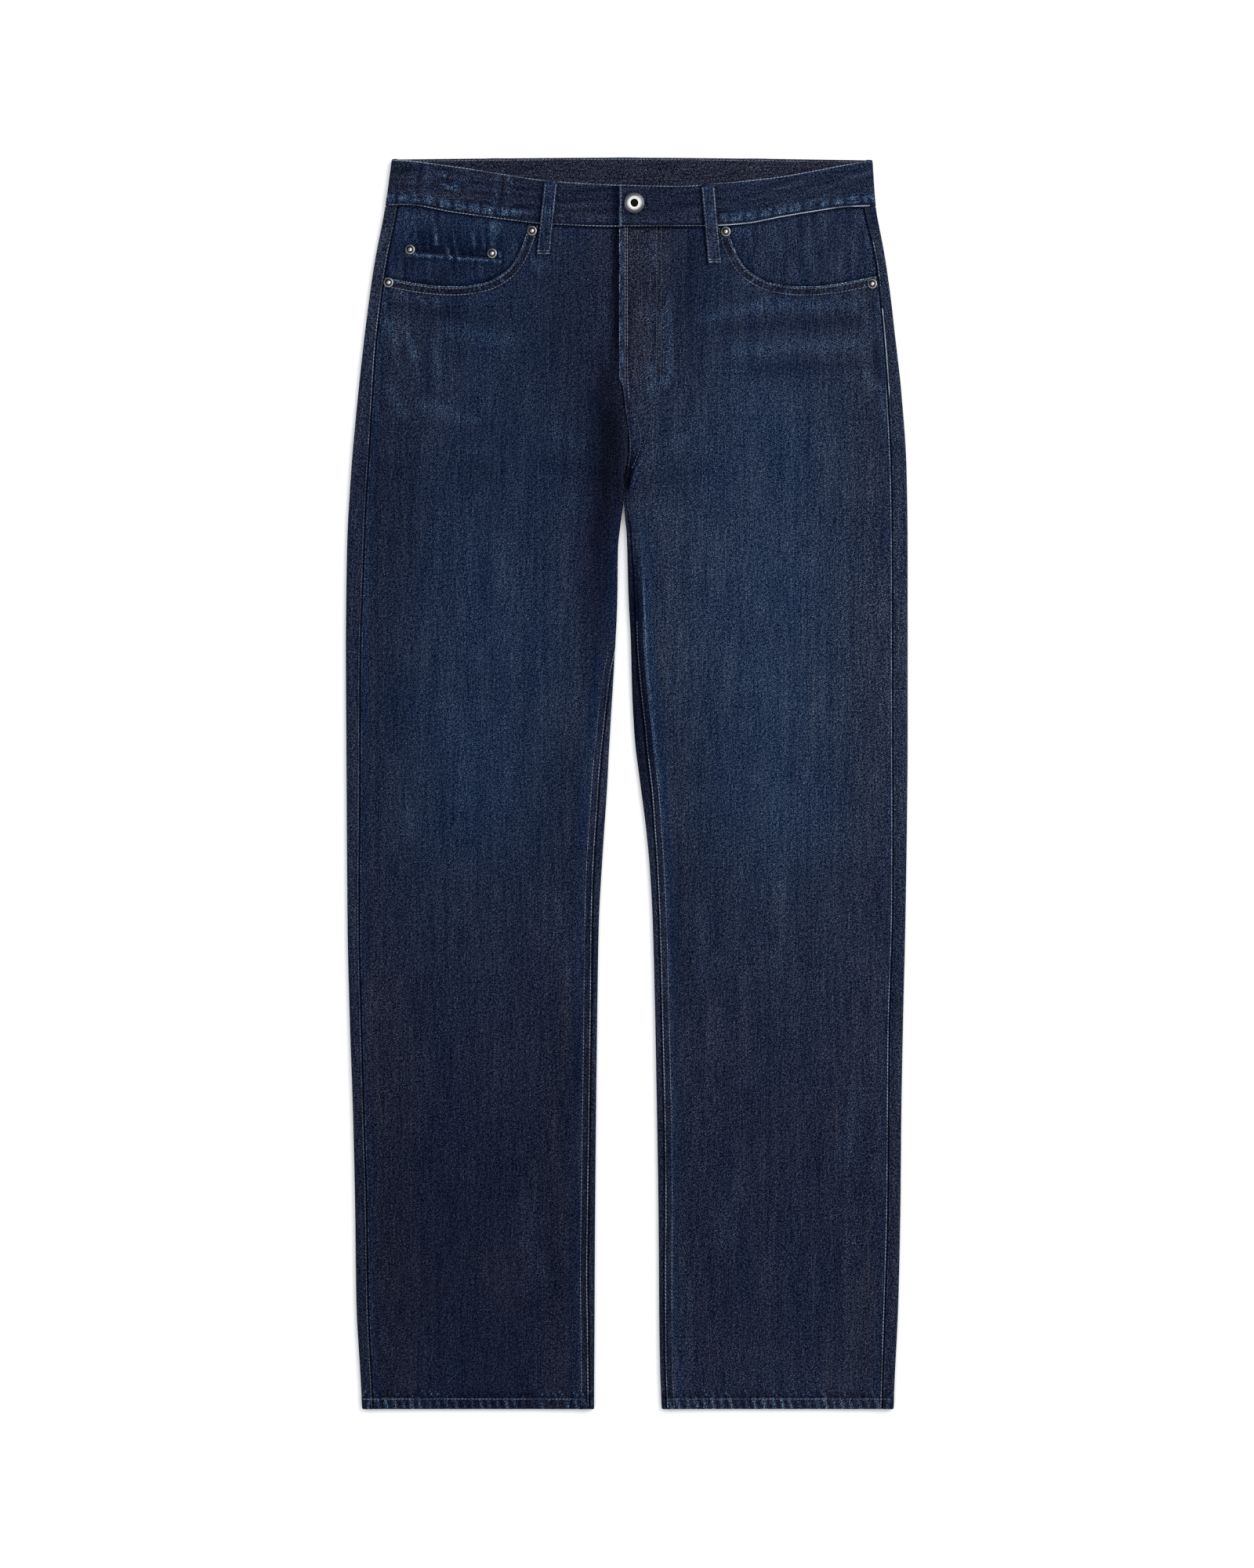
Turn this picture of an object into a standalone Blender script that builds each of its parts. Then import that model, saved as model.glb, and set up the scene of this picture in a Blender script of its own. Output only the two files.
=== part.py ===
"""Straight leg jeans laid flat on their back, fronts up, waist toward +Y.

Every size below is in millimetres.  "down" is measured from the top of the back waistband
toward the hems, "x" from the middle of the garment, and right and left are the wearer's, so
the right leg lies at -X.  Points are worked out in millimetres and turned into metres where
a mesh is made.
"""

import math

import bmesh
import bpy

MM = 0.001

# ---------------------------------------------------------------- driving sizes
LENGTH = 1075.0          # waist to hem
WALL = 1.1               # one layer of denim
BAND = 2.2               # waistband: two layers
SEAM_GAP = 0.35          # between pieces that are sewn edge to edge
LAY_GAP = 0.3            # between a piece and what it lies on
CROTCH = 276.0           # down to where the legs part
CROTCH_CLOSE = 16.0      # length over which the centre rolls into two inner folds
CENTRE_BACK = -1.3       # x of the centre back seam

FOLD_ROUND = 1.25        # a fold's half width over its half height
ROLL_FADE = 15.0         # how fast a fold's height dies away inward
BAND_FOLD = 8.0          # height of the waistband's side folds
BAND_TOP = 6.2           # height of the front waistband
HEM = 9.0                # depth of the turned hem
HEM_RISE = 0.8           # its extra thickness

FLY_UNDERLAP = 8.0       # right front under the fly edge
FLY_END = 188.0          # down to where the lap ends in a seam
BAND_UNDERLAP = 30.0     # right band end under the left one
SCOOP_SHIFT = 1.3        # the left pocket mouth lies this much further out
SCOOP_HEM = 8.0          # turned edge of the pocket mouth
SCOOP_HEM_RISE = 0.5
FACING_UNDER = 8.0       # facing past the pocket mouth, under the front

COIN_OUTER, COIN_INNER = 190.0, 106.5        # coin pocket's sides, |x|
COIN_TOP_OUTER, COIN_TOP_INNER = 73.7, 80.4  # its mouth, down
COIN_UNDER = 5.5                             # past the pocket mouth

POCKET_OUTER, POCKET_INNER = 188.0, 40.0     # back pocket's sides, |x|
POCKET_TOP, POCKET_SIDE, POCKET_POINT = 118.0, 250.0, 270.0
POCKET_TAPER = 8.0                           # each side drawn in at the bottom
YOKE_CENTRE = 95.0                           # yoke seam at the centre back
YOKE_SIDE = {"right": 60.0, "left": 70.0}    # and at the outseams

LOOP_WIDTH = 11.3
LOOP_BACK_X = 112.0
LOOP_PAST_BAND = 8.0
RAMP = 3.0               # cloth climbs onto an underside piece within this
RIVET_RADIUS, RIVET_HEIGHT = 4.2, 1.7
BUTTON_RADIUS, BUTTON_HEIGHT, BUTTON_HOLE = 8.75, 3.4, 3.0
BUTTON_X, BUTTON_DOWN = 7.0, 39.8

INDIGO = (0.045, 0.065, 0.145)
INDIGO_WORN = (0.075, 0.11, 0.21)
NICKEL = (0.62, 0.60, 0.56)

SIGN = {"right": -1.0, "left": 1.0}


# ---------------------------------------------------------------- tables of sections
class Table:
    """Sizes along one direction, a row for each section, read as smooth curves."""

    def __init__(self, columns, *rows):
        self.columns = columns.split()
        self.rows = rows

    def at(self, column, key):
        index = self.columns.index(column)
        rows = self.rows
        if key <= rows[0][0]:
            return rows[0][index]
        if key >= rows[-1][0]:
            return rows[-1][index]
        n = next(i for i in range(1, len(rows)) if key <= rows[i][0])
        span = rows[n][0] - rows[n - 1][0]
        t = (key - rows[n - 1][0]) / span
        low, high = rows[n - 1][index], rows[n][index]
        enter, leave = self.slope(n - 1, index) * span, self.slope(n, index) * span
        return (low * (1 + 2 * t) * (1 - t) ** 2 + high * t * t * (3 - 2 * t)
                + enter * t * (1 - t) ** 2 - leave * t * t * (1 - t))

    def slope(self, n, index):
        """Slope at a row, with no overshoot past its neighbours."""
        rows = self.rows
        if n in (0, len(rows) - 1):
            near = 1 if n == 0 else n - 1
            return (rows[near][index] - rows[n][index]) / (rows[near][0] - rows[n][0])
        before = (rows[n][index] - rows[n - 1][index]) / (rows[n][0] - rows[n - 1][0])
        after = (rows[n + 1][index] - rows[n][index]) / (rows[n + 1][0] - rows[n][0])
        if before * after <= 0:
            return 0.0
        return 2 * before * after / (before + after)


# fold: distance of the side fold from the middle; seam: cloth from the fold up to the seam
OUTER = {
    "right": Table(
        "down fold seam",
        (0, 201.2, 12.6), (42, 207.0, 12.8), (94, 216.8, 12.5), (148, 224.2, 12.6),
        (202, 230.2, 14.4), (269, 236.3, 16.4), (336, 239.9, 16.6), (417, 240.9, 14.6),
        (540, 240.3, 13.3), (660, 239.5, 12.0), (740, 237.6, 11.8), (821, 234.8, 11.2),
        (902, 233.0, 11.8), (983, 231.9, 12.0), (1050, 228.2, 11.4), (1075, 226.9, 11.4)),
    "left": Table(
        "down fold seam",
        (0, 211.5, 12.4), (42, 214.5, 12.4), (75, 220.5, 11.0), (94, 223.7, 10.5),
        (124, 227.8, 11.4), (148, 230.5, 11.8), (202, 236.5, 13.7), (269, 241.0, 14.9),
        (336, 241.9, 14.8), (498, 241.9, 14.6), (579, 241.2, 13.6), (660, 239.9, 12.8),
        (740, 238.0, 13.4), (821, 236.5, 12.7), (902, 235.7, 12.5), (983, 233.9, 12.9),
        (1050, 230.8, 11.9), (1075, 229.8, 11.6)),
}
# x: inner fold; seam: cloth from the fold to the inseam, negative where it lies underneath
INNER = {
    "right": Table(
        "down x seam",
        (276, -1.6, 0.6), (295, -2.3, -1.6), (309, -4.3, -4.0), (336, -7.2, -6.6),
        (377, -7.9, -5.4), (417, -9.4, -0.5), (448, -11.1, 4.0), (498, -14.1, 6.8),
        (540, -16.3, 8.4), (600, -20.3, 8.3), (660, -23.5, 7.1), (740, -24.9, 6.5),
        (902, -26.6, 7.0), (953, -26.9, 7.4), (1013, -27.2, 6.4), (1075, -27.6, 5.4)),
    "left": Table(
        "down x seam",
        (276, -1.2, 1.2), (295, -1.7, 3.4), (309, -1.0, 4.6), (323, 0.4, 5.4),
        (377, 2.0, 6.8), (417, 4.0, 6.2), (457, 5.0, 8.4), (498, 7.2, 10.6),
        (540, 12.3, 10.2), (579, 17.3, 8.2), (619, 20.8, 7.2), (660, 22.9, 6.8),
        (740, 24.9, 6.9), (831, 26.6, 7.3), (902, 27.7, 6.8), (953, 28.1, 6.0),
        (1000, 28.4, 5.8), (1040, 29.1, 5.6), (1075, 30.6, 5.5)),
}
# the fly edge, and below it the centre front seam
CENTRE_FRONT = Table(
    "down x",
    (0, -6.0), (188, -6.0), (197, -3.0), (218, -0.7), (238, 2.2), (256, 2.4), (276, -1.4))
# front waistband's edges along x
BAND_FRONT = Table(
    "x top bottom",
    (-207, 1.7, 42.0), (-190, 2.6, 41.6), (-148, 7.6, 48.0), (-104, 14.4, 54.0),
    (-69, 19.6, 57.9), (-7, 23.4, 60.0), (42, 24.6, 59.8), (77, 22.2, 59.4),
    (104, 19.8, 57.4), (135, 16.0, 51.6), (163, 11.0, 47.0), (190, 6.0, 43.4),
    (213, 2.4, 42.6))
BAND_BACK = Table(
    "x top bottom",
    (-207, 1.7, 42.0), (-100, 0.6, 40.0), (0, 0.0, 39.0), (100, 0.8, 40.0), (213, 2.4, 42.6))
# pocket mouth: down against the distance from the middle
SCOOP = Table(
    "x down",
    (85.0, 58.0), (87.0, 66.0), (92.0, 80.0), (99.5, 93.5), (110.0, 102.3), (123.0, 108.2),
    (142.0, 111.2), (162.0, 111.0), (182.0, 108.6), (206.0, 104.0), (220.0, 101.0))
# how high the top layer lies: at the side folds, and away from them
LAY = Table(
    "down fold middle",
    (0, 6.3, 5.0), (60, 6.3, 4.9), (120, 6.2, 4.2), (300, 6.1, 4.2), (700, 5.9, 4.0),
    (1075, 5.7, 3.8))
# the largest soft folds of the front: both ends, half width and height (troughs below zero)
FOLDS = (
    {"from": (-16, 150), "to": (-14, 300), "half": 13, "height": -0.9},
    {"from": (-26, 330), "to": (-36, 560), "half": 15, "height": -0.8},
    {"from": (-58, 250), "to": (-52, 520), "half": 17, "height": 0.7},
    {"from": (-150, 300), "to": (-132, 640), "half": 26, "height": 0.7},
    {"from": (-185, 420), "to": (-170, 760), "half": 16, "height": -0.6},
    {"from": (-95, 760), "to": (-150, 930), "half": 18, "height": -0.6},
    {"from": (62, 320), "to": (66, 540), "half": 18, "height": -0.7},
    {"from": (120, 230), "to": (118, 560), "half": 30, "height": 0.7},
    {"from": (185, 360), "to": (176, 700), "half": 17, "height": -0.6},
    {"from": (96, 780), "to": (150, 960), "half": 19, "height": -0.6},
)
# rivets: x, down and what each one sits on
RIVETS = (
    ("rivet_1", -80.9, 63.4, "mouth"), ("rivet_2", -204.0, 108.0, "mouth"),
    ("rivet_3", 85.5, 64.1, "mouth"), ("rivet_4", 211.2, 109.0, "mouth"),
    ("rivet_5", -185.6, 79.6, "coin"), ("rivet_6", -115.2, 82.8, "coin"),
)
# front belt loops: middle line at both ends
FRONT_LOOPS = (
    {"name": "belt_loop_1", "top": (-64.5, 20.5), "end": (-71.3, 84.0)},
    {"name": "belt_loop_2", "top": (70.0, 23.4), "end": (76.0, 91.5)},
)
LEG_ROWS = (298, 308, 320, 336, 358, 386, 418, 446, 480, 518, 560, 608, 662, 722, 785, 848,
            908, 962, 1010, 1046, LENGTH - HEM - 1.0, LENGTH - HEM + 0.6, LENGTH)


# ---------------------------------------------------------------- small helpers
def smooth(start, end, value):
    t = min(max((value - start) / (end - start), 0.0), 1.0)
    return t * t * (3 - 2 * t)


def mix(a, b, t):
    return a + (b - a) * t


def spread(a, b, count):
    """count + 1 even values from a to b."""
    return [mix(a, b, i / count) for i in range(count + 1)]


def segment_distance(x, y, a, b):
    """Distance from a point to a segment."""
    dx, dy = b[0] - a[0], b[1] - a[1]
    t = ((x - a[0]) * dx + (y - a[1]) * dy) / (dx * dx + dy * dy)
    t = min(max(t, 0.0), 1.0)
    return math.hypot(x - a[0] - t * dx, y - a[1] - t * dy)


# ---------------------------------------------------------------- where the cloth lies
def parted(down):
    """0 above the crotch, 1 where the legs have their own inner folds."""
    return smooth(CROTCH - CROTCH_CLOSE, CROTCH + 2.0, down)


def outer_fold(side, down):
    return SIGN[side] * OUTER[side].at("fold", down)


def scoop_down(side, x):
    """Height of the pocket mouth's edge at x."""
    shift = -SCOOP_SHIFT if side == "right" else SCOOP_SHIFT
    return SCOOP.at("down", abs(x) - shift)


def scoop_distance(side, x, down):
    """Distance to the pocket mouth's edge."""
    shift = -SCOOP_SHIFT if side == "right" else SCOOP_SHIFT
    line = [(row[0] + shift, row[1]) for row in SCOOP.rows]
    return min(segment_distance(abs(x), down, a, b) for a, b in zip(line, line[1:]))


def pocket_v(x):
    """How much lower the back pocket's bottom edge is at x than at its sides."""
    middle = (POCKET_OUTER + POCKET_INNER) / 2
    half = (POCKET_OUTER - POCKET_INNER) / 2
    return (POCKET_POINT - POCKET_SIDE) * max(0.0, 1 - abs(abs(x) - middle) / half)


def soft_folds(x, down):
    total = 0.0
    for fold in FOLDS:
        gap = segment_distance(x, down, fold["from"], fold["to"]) / fold["half"]
        total += fold["height"] * math.exp(-gap * gap)
    return total


def top_height(side, x, down):
    """Outer face of the top layer, before laps and pocket edges lift it."""
    fold, middle = LAY.at("fold", down), LAY.at("middle", down)
    half = fold / 2 * FOLD_ROUND
    from_outer = max(0.0, abs(outer_fold(side, down) - x) - half)
    rise = math.exp(-from_outer / ROLL_FADE)
    if down > CROTCH - CROTCH_CLOSE:
        from_inner = max(0.0, abs(x - INNER[side].at("x", down)) - half)
        rise = min(1.0, rise + parted(down) * math.exp(-from_inner / ROLL_FADE))
    height = mix(middle, fold, rise) + (1 - rise) * soft_folds(x, down)
    over_pocket = smooth(60, 100, down) * (1 - smooth(POCKET_POINT, 330, down))
    return height + (WALL + LAY_GAP) * over_pocket * smooth(0, 25, from_outer)


def mouth_lift(side, x, down):
    """Lift of the front where it lies on the facing, and on the coin pocket."""
    near = scoop_distance(side, x, down)
    lift = (WALL + LAY_GAP) * (1 - smooth(FACING_UNDER + 5, 36, near))
    if side == "right":
        beside = smooth(COIN_INNER - 24, COIN_INNER - 8, -x)
        beside *= 1 - smooth(COIN_OUTER + 5, COIN_OUTER + 20, -x)
        lift += (WALL + LAY_GAP) * beside * (1 - smooth(COIN_UNDER + 8, 36, near))
    return lift


def fly_lift(x, down):
    """Lift of the left front over the right one along the fly."""
    return (WALL + LAY_GAP) * (1 - smooth(6, 26, x)) * (1 - smooth(FLY_END + 10, 232, down))


def front_height(side, x, down):
    height = top_height(side, x, down) + mouth_lift(side, x, down)
    if side == "left":
        height += fly_lift(x, down)
    return height


def quarter(height):
    """Length of cloth round a quarter of a fold."""
    half = height / 2
    return math.pi / 2 * half * math.sqrt((1 + FOLD_ROUND ** 2) / 2)


def fold_point(x_fold, inward, height, cloth, top, bottom):
    """Point and normal at a length of cloth from a fold's tip, up (+) or under (-)."""
    half = height / 2
    reach = half * FOLD_ROUND
    turn = quarter(height)
    if abs(cloth) < turn:
        angle = cloth / turn * math.pi / 2
        x = x_fold + inward * reach * (1 - math.cos(angle))
        z = half * (1 + math.sin(angle))
        nx, nz = -inward * math.cos(angle) / reach, math.sin(angle) / half
        size = math.hypot(nx, nz)
        return x, z, nx / size, nz / size
    x = x_fold + inward * (reach + abs(cloth) - turn)
    if cloth > 0:
        return x, top(x), 0.0, 1.0
    return x, bottom(x), 0.0, -1.0


def blend_points(a, b, t):
    x, z, nx, nz = (mix(p, q, t) for p, q in zip(a, b))
    size = math.hypot(nx, nz)
    return x, z, nx / size, nz / size


def hem_rise(down, nz):
    return HEM_RISE * max(0.0, nz) if down > LENGTH - HEM else 0.0


# ---------------------------------------------------------------- making meshes
def new_object(name, mesh, parts, colour, metal=0.0, rough=0.85):
    thing = bpy.data.objects.new(name, mesh)
    parts.objects.link(thing)
    material = bpy.data.materials.new(name + "_finish")
    material.use_nodes = True
    shader = material.node_tree.nodes["Principled BSDF"]
    shader.inputs["Base Color"].default_value = (*colour, 1.0)
    shader.inputs["Roughness"].default_value = rough
    shader.inputs["Metallic"].default_value = metal
    mesh.materials.append(material)
    mesh.shade_smooth()
    mesh.set_sharp_from_angle(angle=math.radians(45))
    return thing


def to_metres(x, down, z):
    return x * MM, (LENGTH / 2 - down) * MM, z * MM


def wall(name, parts, rows, thick, colour=INDIGO):
    """A closed wall through rows of sections; each point is (x, down, z, nx, nz, extra)."""
    outer, inner = [], []
    for row in rows:
        for x, down, z, nx, nz, extra in row:
            outer.append(to_metres(x + nx * extra, down, z + nz * extra))
            inner.append(to_metres(x - nx * thick, down, z - nz * thick))
    count, wide, flip = len(rows), len(rows[0]), len(outer)
    faces = []
    for r in range(count - 1):
        for c in range(wide - 1):
            quad = (r * wide + c, r * wide + c + 1, (r + 1) * wide + c + 1, (r + 1) * wide + c)
            faces.append(quad)
            faces.append(tuple(flip + i for i in reversed(quad)))
    rim = [c for c in range(wide)]
    rim += [r * wide + wide - 1 for r in range(1, count)]
    rim += [(count - 1) * wide + c for c in range(wide - 2, -1, -1)]
    rim += [r * wide for r in range(count - 2, 0, -1)]
    for a, b in zip(rim, rim[1:] + rim[:1]):
        faces.append((b, a, flip + a, flip + b))
    mesh = bpy.data.meshes.new(name)
    mesh.from_pydata(outer + inner, [], faces)
    work = bmesh.new()
    work.from_mesh(mesh)
    bmesh.ops.recalc_face_normals(work, faces=work.faces)
    work.to_mesh(mesh)
    work.free()
    return new_object(name, mesh, parts, colour)


def sheet(name, parts, rows, thick, colour=INDIGO, up=True):
    """An open grid of points (x, down, z) with a Solidify above it, or below."""
    mesh = bpy.data.meshes.new(name)
    wide = len(rows[0])
    points = [to_metres(*point) for row in rows for point in row]
    faces = []
    for r in range(len(rows) - 1):
        for c in range(wide - 1):
            quad = (r * wide + c, (r + 1) * wide + c, (r + 1) * wide + c + 1, r * wide + c + 1)
            faces.append(quad)
    mesh.from_pydata(points, [], faces)
    thing = new_object(name, mesh, parts, colour)
    solid = thing.modifiers.new("cloth", "SOLIDIFY")
    solid.thickness = thick * MM
    solid.offset = 1.0 if up else -1.0
    return thing


def turned(name, parts, profile, place, steps, colour):
    """A profile of (radius, height) points, spun round an upright axis."""
    mesh = bpy.data.meshes.new(name)
    points = [(radius * MM, 0.0, height * MM) for radius, height in profile]
    mesh.from_pydata(points, [(i, i + 1) for i in range(len(points) - 1)], [])
    thing = new_object(name, mesh, parts, colour, metal=1.0, rough=0.35)
    thing.location = to_metres(*place)
    spin = thing.modifiers.new("spin", "SCREW")
    spin.axis = "Z"
    spin.angle = math.tau
    spin.steps = steps
    spin.render_steps = steps
    spin.use_merge_vertices = True
    spin.merge_threshold = 0.000001
    spin.use_smooth_shade = True
    return thing


# ---------------------------------------------------------------- front panels
FRONT_COLUMNS = (0.0, 0.035, 0.11, 0.20, 0.29, 0.37, 0.43, 0.475, 0.508, 0.53, 0.55, 0.567,
                 0.582, 0.597, 0.66, 0.76, 0.87)
FLAT_SHARE = 0.98        # share of the width that the columns above run over
FRONT_TOP_ROWS = (0.0, 0.14, 0.36, 0.66, 1.0)
FRONT_TOP_END = 136.0
FRONT_BODY_ROWS = (160, 182, 194, 206, 228, 250, 260, 266, 272, 278, 284, 290)
INNER_STEPS = (9.0, 5.5, 3.0, 1.2, 0.0)      # cloth left before the front's inner edge
# a slanting column meets a curved edge by trying again and again from a first guess
FRONT_TOP_GUESS, FACING_GUESS = 90.0, 80.0
EDGE_TRIES, EDGE_STEP = 24, 0.6


def front_outer_edge(side, down):
    """x of the front's side seam."""
    height = LAY.at("fold", down)
    cloth = OUTER[side].at("seam", down)
    inward = -SIGN[side]
    return outer_fold(side, down) + inward * (height / 2 * FOLD_ROUND + cloth - quarter(height))


def front_inner_edge(side, down):
    """x of the front's inner edge above the crotch."""
    edge = CENTRE_FRONT.at("x", down)
    if side == "left":
        return edge
    lap = mix(FLY_UNDERLAP, -SEAM_GAP, smooth(FLY_END - 18, FLY_END + 4, down))
    return edge + lap


def front_top(side, x):
    """Down to the front's top edge: the waistband seam or the pocket mouth."""
    band = BAND_FRONT.at("bottom", x) + SEAM_GAP
    return max(band, scoop_down(side, x))


def inner_point(side, down, left):
    """A front point at a length of cloth short of its inner edge."""
    edge = front_inner_edge(side, min(down, CROTCH))
    open_x = edge + SIGN[side] * left
    open_point = (open_x, front_height(side, open_x, down), 0.0, 1.0)
    closed = parted(down)
    if closed == 0:
        return open_point
    height = LAY.at("fold", down)
    cloth = INNER[side].at("seam", down) + left
    folded = fold_point(INNER[side].at("x", down), SIGN[side], height, cloth,
                        lambda x: front_height(side, x, down), lambda x: 0.0)
    return blend_points(open_point, folded, closed)


def front_section(side, down_at):
    """Points across a front, each at its own down."""
    row = []
    for share in FRONT_COLUMNS:
        down = down_at(share)
        last = inner_point(side, down, INNER_STEPS[0])[0]
        x = mix(front_outer_edge(side, down), last, share / FLAT_SHARE)
        row.append((x, down, front_height(side, x, down), 0.0, 1.0))
    for left in INNER_STEPS:
        down = down_at(1.0)
        x, z, nx, nz = inner_point(side, down, left)
        row.append((x, down, z, nx, nz))
    return row


def column_top(side, share):
    """The top edge on a column, found where the slanting column meets it."""
    down = FRONT_TOP_GUESS
    for _ in range(EDGE_TRIES):
        if share < 1:
            last = front_inner_edge(side, down) + SIGN[side] * INNER_STEPS[0]
            x = mix(front_outer_edge(side, down), last, share / FLAT_SHARE)
        else:
            x = front_inner_edge(side, down)
        down = mix(down, front_top(side, x), EDGE_STEP)
    return down


def front_panel(side, parts):
    tops = {share: column_top(side, share) for share in FRONT_COLUMNS + (1.0,)}
    rows = []
    for part in FRONT_TOP_ROWS:
        def down_at(share, part=part):
            return mix(tops[share], FRONT_TOP_END, part)
        rows.append(front_section(side, down_at))
    for down in FRONT_BODY_ROWS + LEG_ROWS:
        rows.append(front_section(side, lambda share, down=down: down))
    full = []
    for row in rows:
        full.append([(x, down, z, nx, nz, front_extra(side, x, down, nz))
                     for x, down, z, nx, nz in row])
    wall("front_" + side, parts, full, WALL)


def front_extra(side, x, down, nz):
    """Turned edges: thicker along the pocket mouth and the hem."""
    extra = hem_rise(down, nz)
    if down < FRONT_TOP_END:
        near = scoop_distance(side, x, down)
        extra += SCOOP_HEM_RISE * (1 - smooth(SCOOP_HEM * 0.7, SCOOP_HEM * 1.2, near))
    return extra


# ---------------------------------------------------------------- back panels and yokes
FOLD_STEPS = 6           # flat faces round a fold
BACK_LEG_SHARES = (0.17, 0.20, 0.5, 0.80, 0.83)
CENTRE_FLAT = 8.0        # flat cloth beside the centre back seam
UNDER_FOLD = 3.0         # cloth past an inner fold, on the underside
BELOW_POCKET = 290.0     # down to the last row that follows the pocket's point
POCKET_ROWS = (0.0, 0.16, 0.33, 0.5, 0.67, 0.84, 1.0)
BELOW_POCKET_ROWS = (0.0, 0.25, 0.4, 0.55, 0.7, 0.85, 1.0)


def side_points(side, down, under):
    """Points from the side seam round the outer fold to the underside."""
    height = LAY.at("fold", down)
    turn = quarter(height)
    seam = OUTER[side].at("seam", down) - SEAM_GAP
    lengths = [seam, mix(seam, turn, 0.5)] + spread(turn, -turn, FOLD_STEPS)
    return [fold_point(outer_fold(side, down), -SIGN[side], height, cloth,
                       lambda x: top_height(side, x, down), under) for cloth in lengths]


def inner_back_points(side, down):
    """Points round the inner fold to the inseam, or to the centre back above the crotch."""
    height = LAY.at("fold", down)
    turn = quarter(height)
    closed = parted(down)
    centre = CENTRE_BACK + SIGN[side] * SEAM_GAP / 2
    points = []
    for step in spread(0.0, 1.0, FOLD_STEPS):
        flat = (centre + SIGN[side] * CENTRE_FLAT * (1 - step), 0.0, 0.0, -1.0)
        if closed == 0:
            points.append(flat)
            continue
        cloth = mix(-turn - UNDER_FOLD, INNER[side].at("seam", down) - SEAM_GAP, step)
        folded = fold_point(INNER[side].at("x", down), SIGN[side], height, cloth,
                            lambda x: top_height(side, x, down), lambda x: 0.0)
        points.append(blend_points(flat, folded, closed))
    return points


def back_columns(side, down):
    """x of the underside columns: beside the back pocket, then even on the leg."""
    edges = (POCKET_OUTER + RAMP, POCKET_OUTER, (POCKET_OUTER + POCKET_INNER) / 2,
             POCKET_INNER, POCKET_INNER - RAMP)
    leg = smooth(POCKET_POINT + 4, 400, down)
    outer = outer_fold(side, down)
    inner = INNER[side].at("x", down)
    return [mix(SIGN[side] * edge, mix(outer, inner, share), leg)
            for edge, share in zip(edges, BACK_LEG_SHARES)]


def yoke_seam(side, x):
    across = min(abs(x - CENTRE_BACK) / (OUTER[side].at("fold", 60) - 5.0), 1.0)
    return mix(YOKE_CENTRE, YOKE_SIDE[side], across)


def back_section(side, row_at, lifted):
    """Points round a back panel; row_at gives down at x, lifted says if a row is raised."""
    row = []
    side_down = row_at(outer_fold(side, 200))
    for point in side_points(side, side_down, lambda x: 0.0):
        row.append((point[0], side_down, *point[1:]))
    last = len(BACK_LEG_SHARES) - 1
    for index in range(last + 1):
        down = row_at(back_columns(side, side_down)[index])
        x = back_columns(side, down)[index]
        lift = WALL + LAY_GAP if lifted and 0 < index < last else 0.0
        row.append((x, down, lift, 0.0, -1.0))
    inner_down = row_at(0.0)
    for point in inner_back_points(side, inner_down):
        row.append((point[0], inner_down, *point[1:]))
    return [(x, down, z, nx, nz, hem_rise(down, nz)) for x, down, z, nx, nz in row]


def back_panel(side, parts):
    def seam(x):
        return yoke_seam(side, x) + SEAM_GAP

    def below_pocket(part):
        return lambda x: mix(POCKET_SIDE + pocket_v(x) + RAMP, BELOW_POCKET, part)

    rows = [back_section(side, seam, False)]
    rows.append(back_section(side, lambda x: mix(seam(x), POCKET_TOP - RAMP, 0.5), False))
    rows.append(back_section(side, lambda x: POCKET_TOP - RAMP, False))
    for part in POCKET_ROWS:
        rows.append(back_section(
            side, lambda x: mix(POCKET_TOP, POCKET_SIDE + pocket_v(x), part), True))
    for part in BELOW_POCKET_ROWS:
        rows.append(back_section(side, below_pocket(part), False))
    for down in LEG_ROWS:
        rows.append(back_section(side, lambda x: down, False))
    wall("back_" + side, parts, rows, WALL)


def loop_lift(x):
    """Lift of the waistband and yokes over the back belt loops."""
    half = LOOP_WIDTH / 2 + 0.6
    lift = 0.0
    for middle in (-LOOP_BACK_X, CENTRE_BACK, LOOP_BACK_X):
        lift = max(lift, 1 - smooth(half, half + RAMP, abs(x - middle)))
    return (WALL + LAY_GAP) * lift


def loop_columns(side):
    """x values of underside columns that meet the back loops' edges."""
    half = LOOP_WIDTH / 2 + 0.6
    middle = SIGN[side] * LOOP_BACK_X
    near = [middle + SIGN[side] * step for step in (half + RAMP, half, -half, -half - RAMP)]
    wide = [SIGN[side] * x for x in (185.0, 152.0)]
    return wide + near + [SIGN[side] * x for x in (72.0, 38.0)]


def yoke(side, parts):
    centre = CENTRE_BACK + SIGN[side] * SEAM_GAP / 2
    half = LOOP_WIDTH / 2 + 0.6
    columns = loop_columns(side)
    columns += [CENTRE_BACK + SIGN[side] * (half + RAMP), CENTRE_BACK + SIGN[side] * half, centre]
    side_x = outer_fold(side, 200)

    def band_edge(x):
        return BAND_BACK.at("bottom", x) + SEAM_GAP

    def row_down(x, index):
        steps = (0.0, LOOP_PAST_BAND + 1.0, LOOP_PAST_BAND + 1.0 + RAMP)
        if index < 3:
            return band_edge(x) + steps[index]
        last = band_edge(x) + steps[2]
        return mix(last, yoke_seam(side, x), 0.5 if index == 3 else 1.0)

    rows = []
    for index in range(5):
        down = row_down(side_x, index)
        row = [(p[0], down, *p[1:], 0.0) for p in side_points(side, down, lambda x: 0.0)]
        for x in columns:
            lift = loop_lift(x) if index < 2 else 0.0
            row.append((x, row_down(x, index), lift, 0.0, -1.0, 0.0))
        rows.append(row)
    wall("yoke_" + side, parts, rows, WALL)


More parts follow.
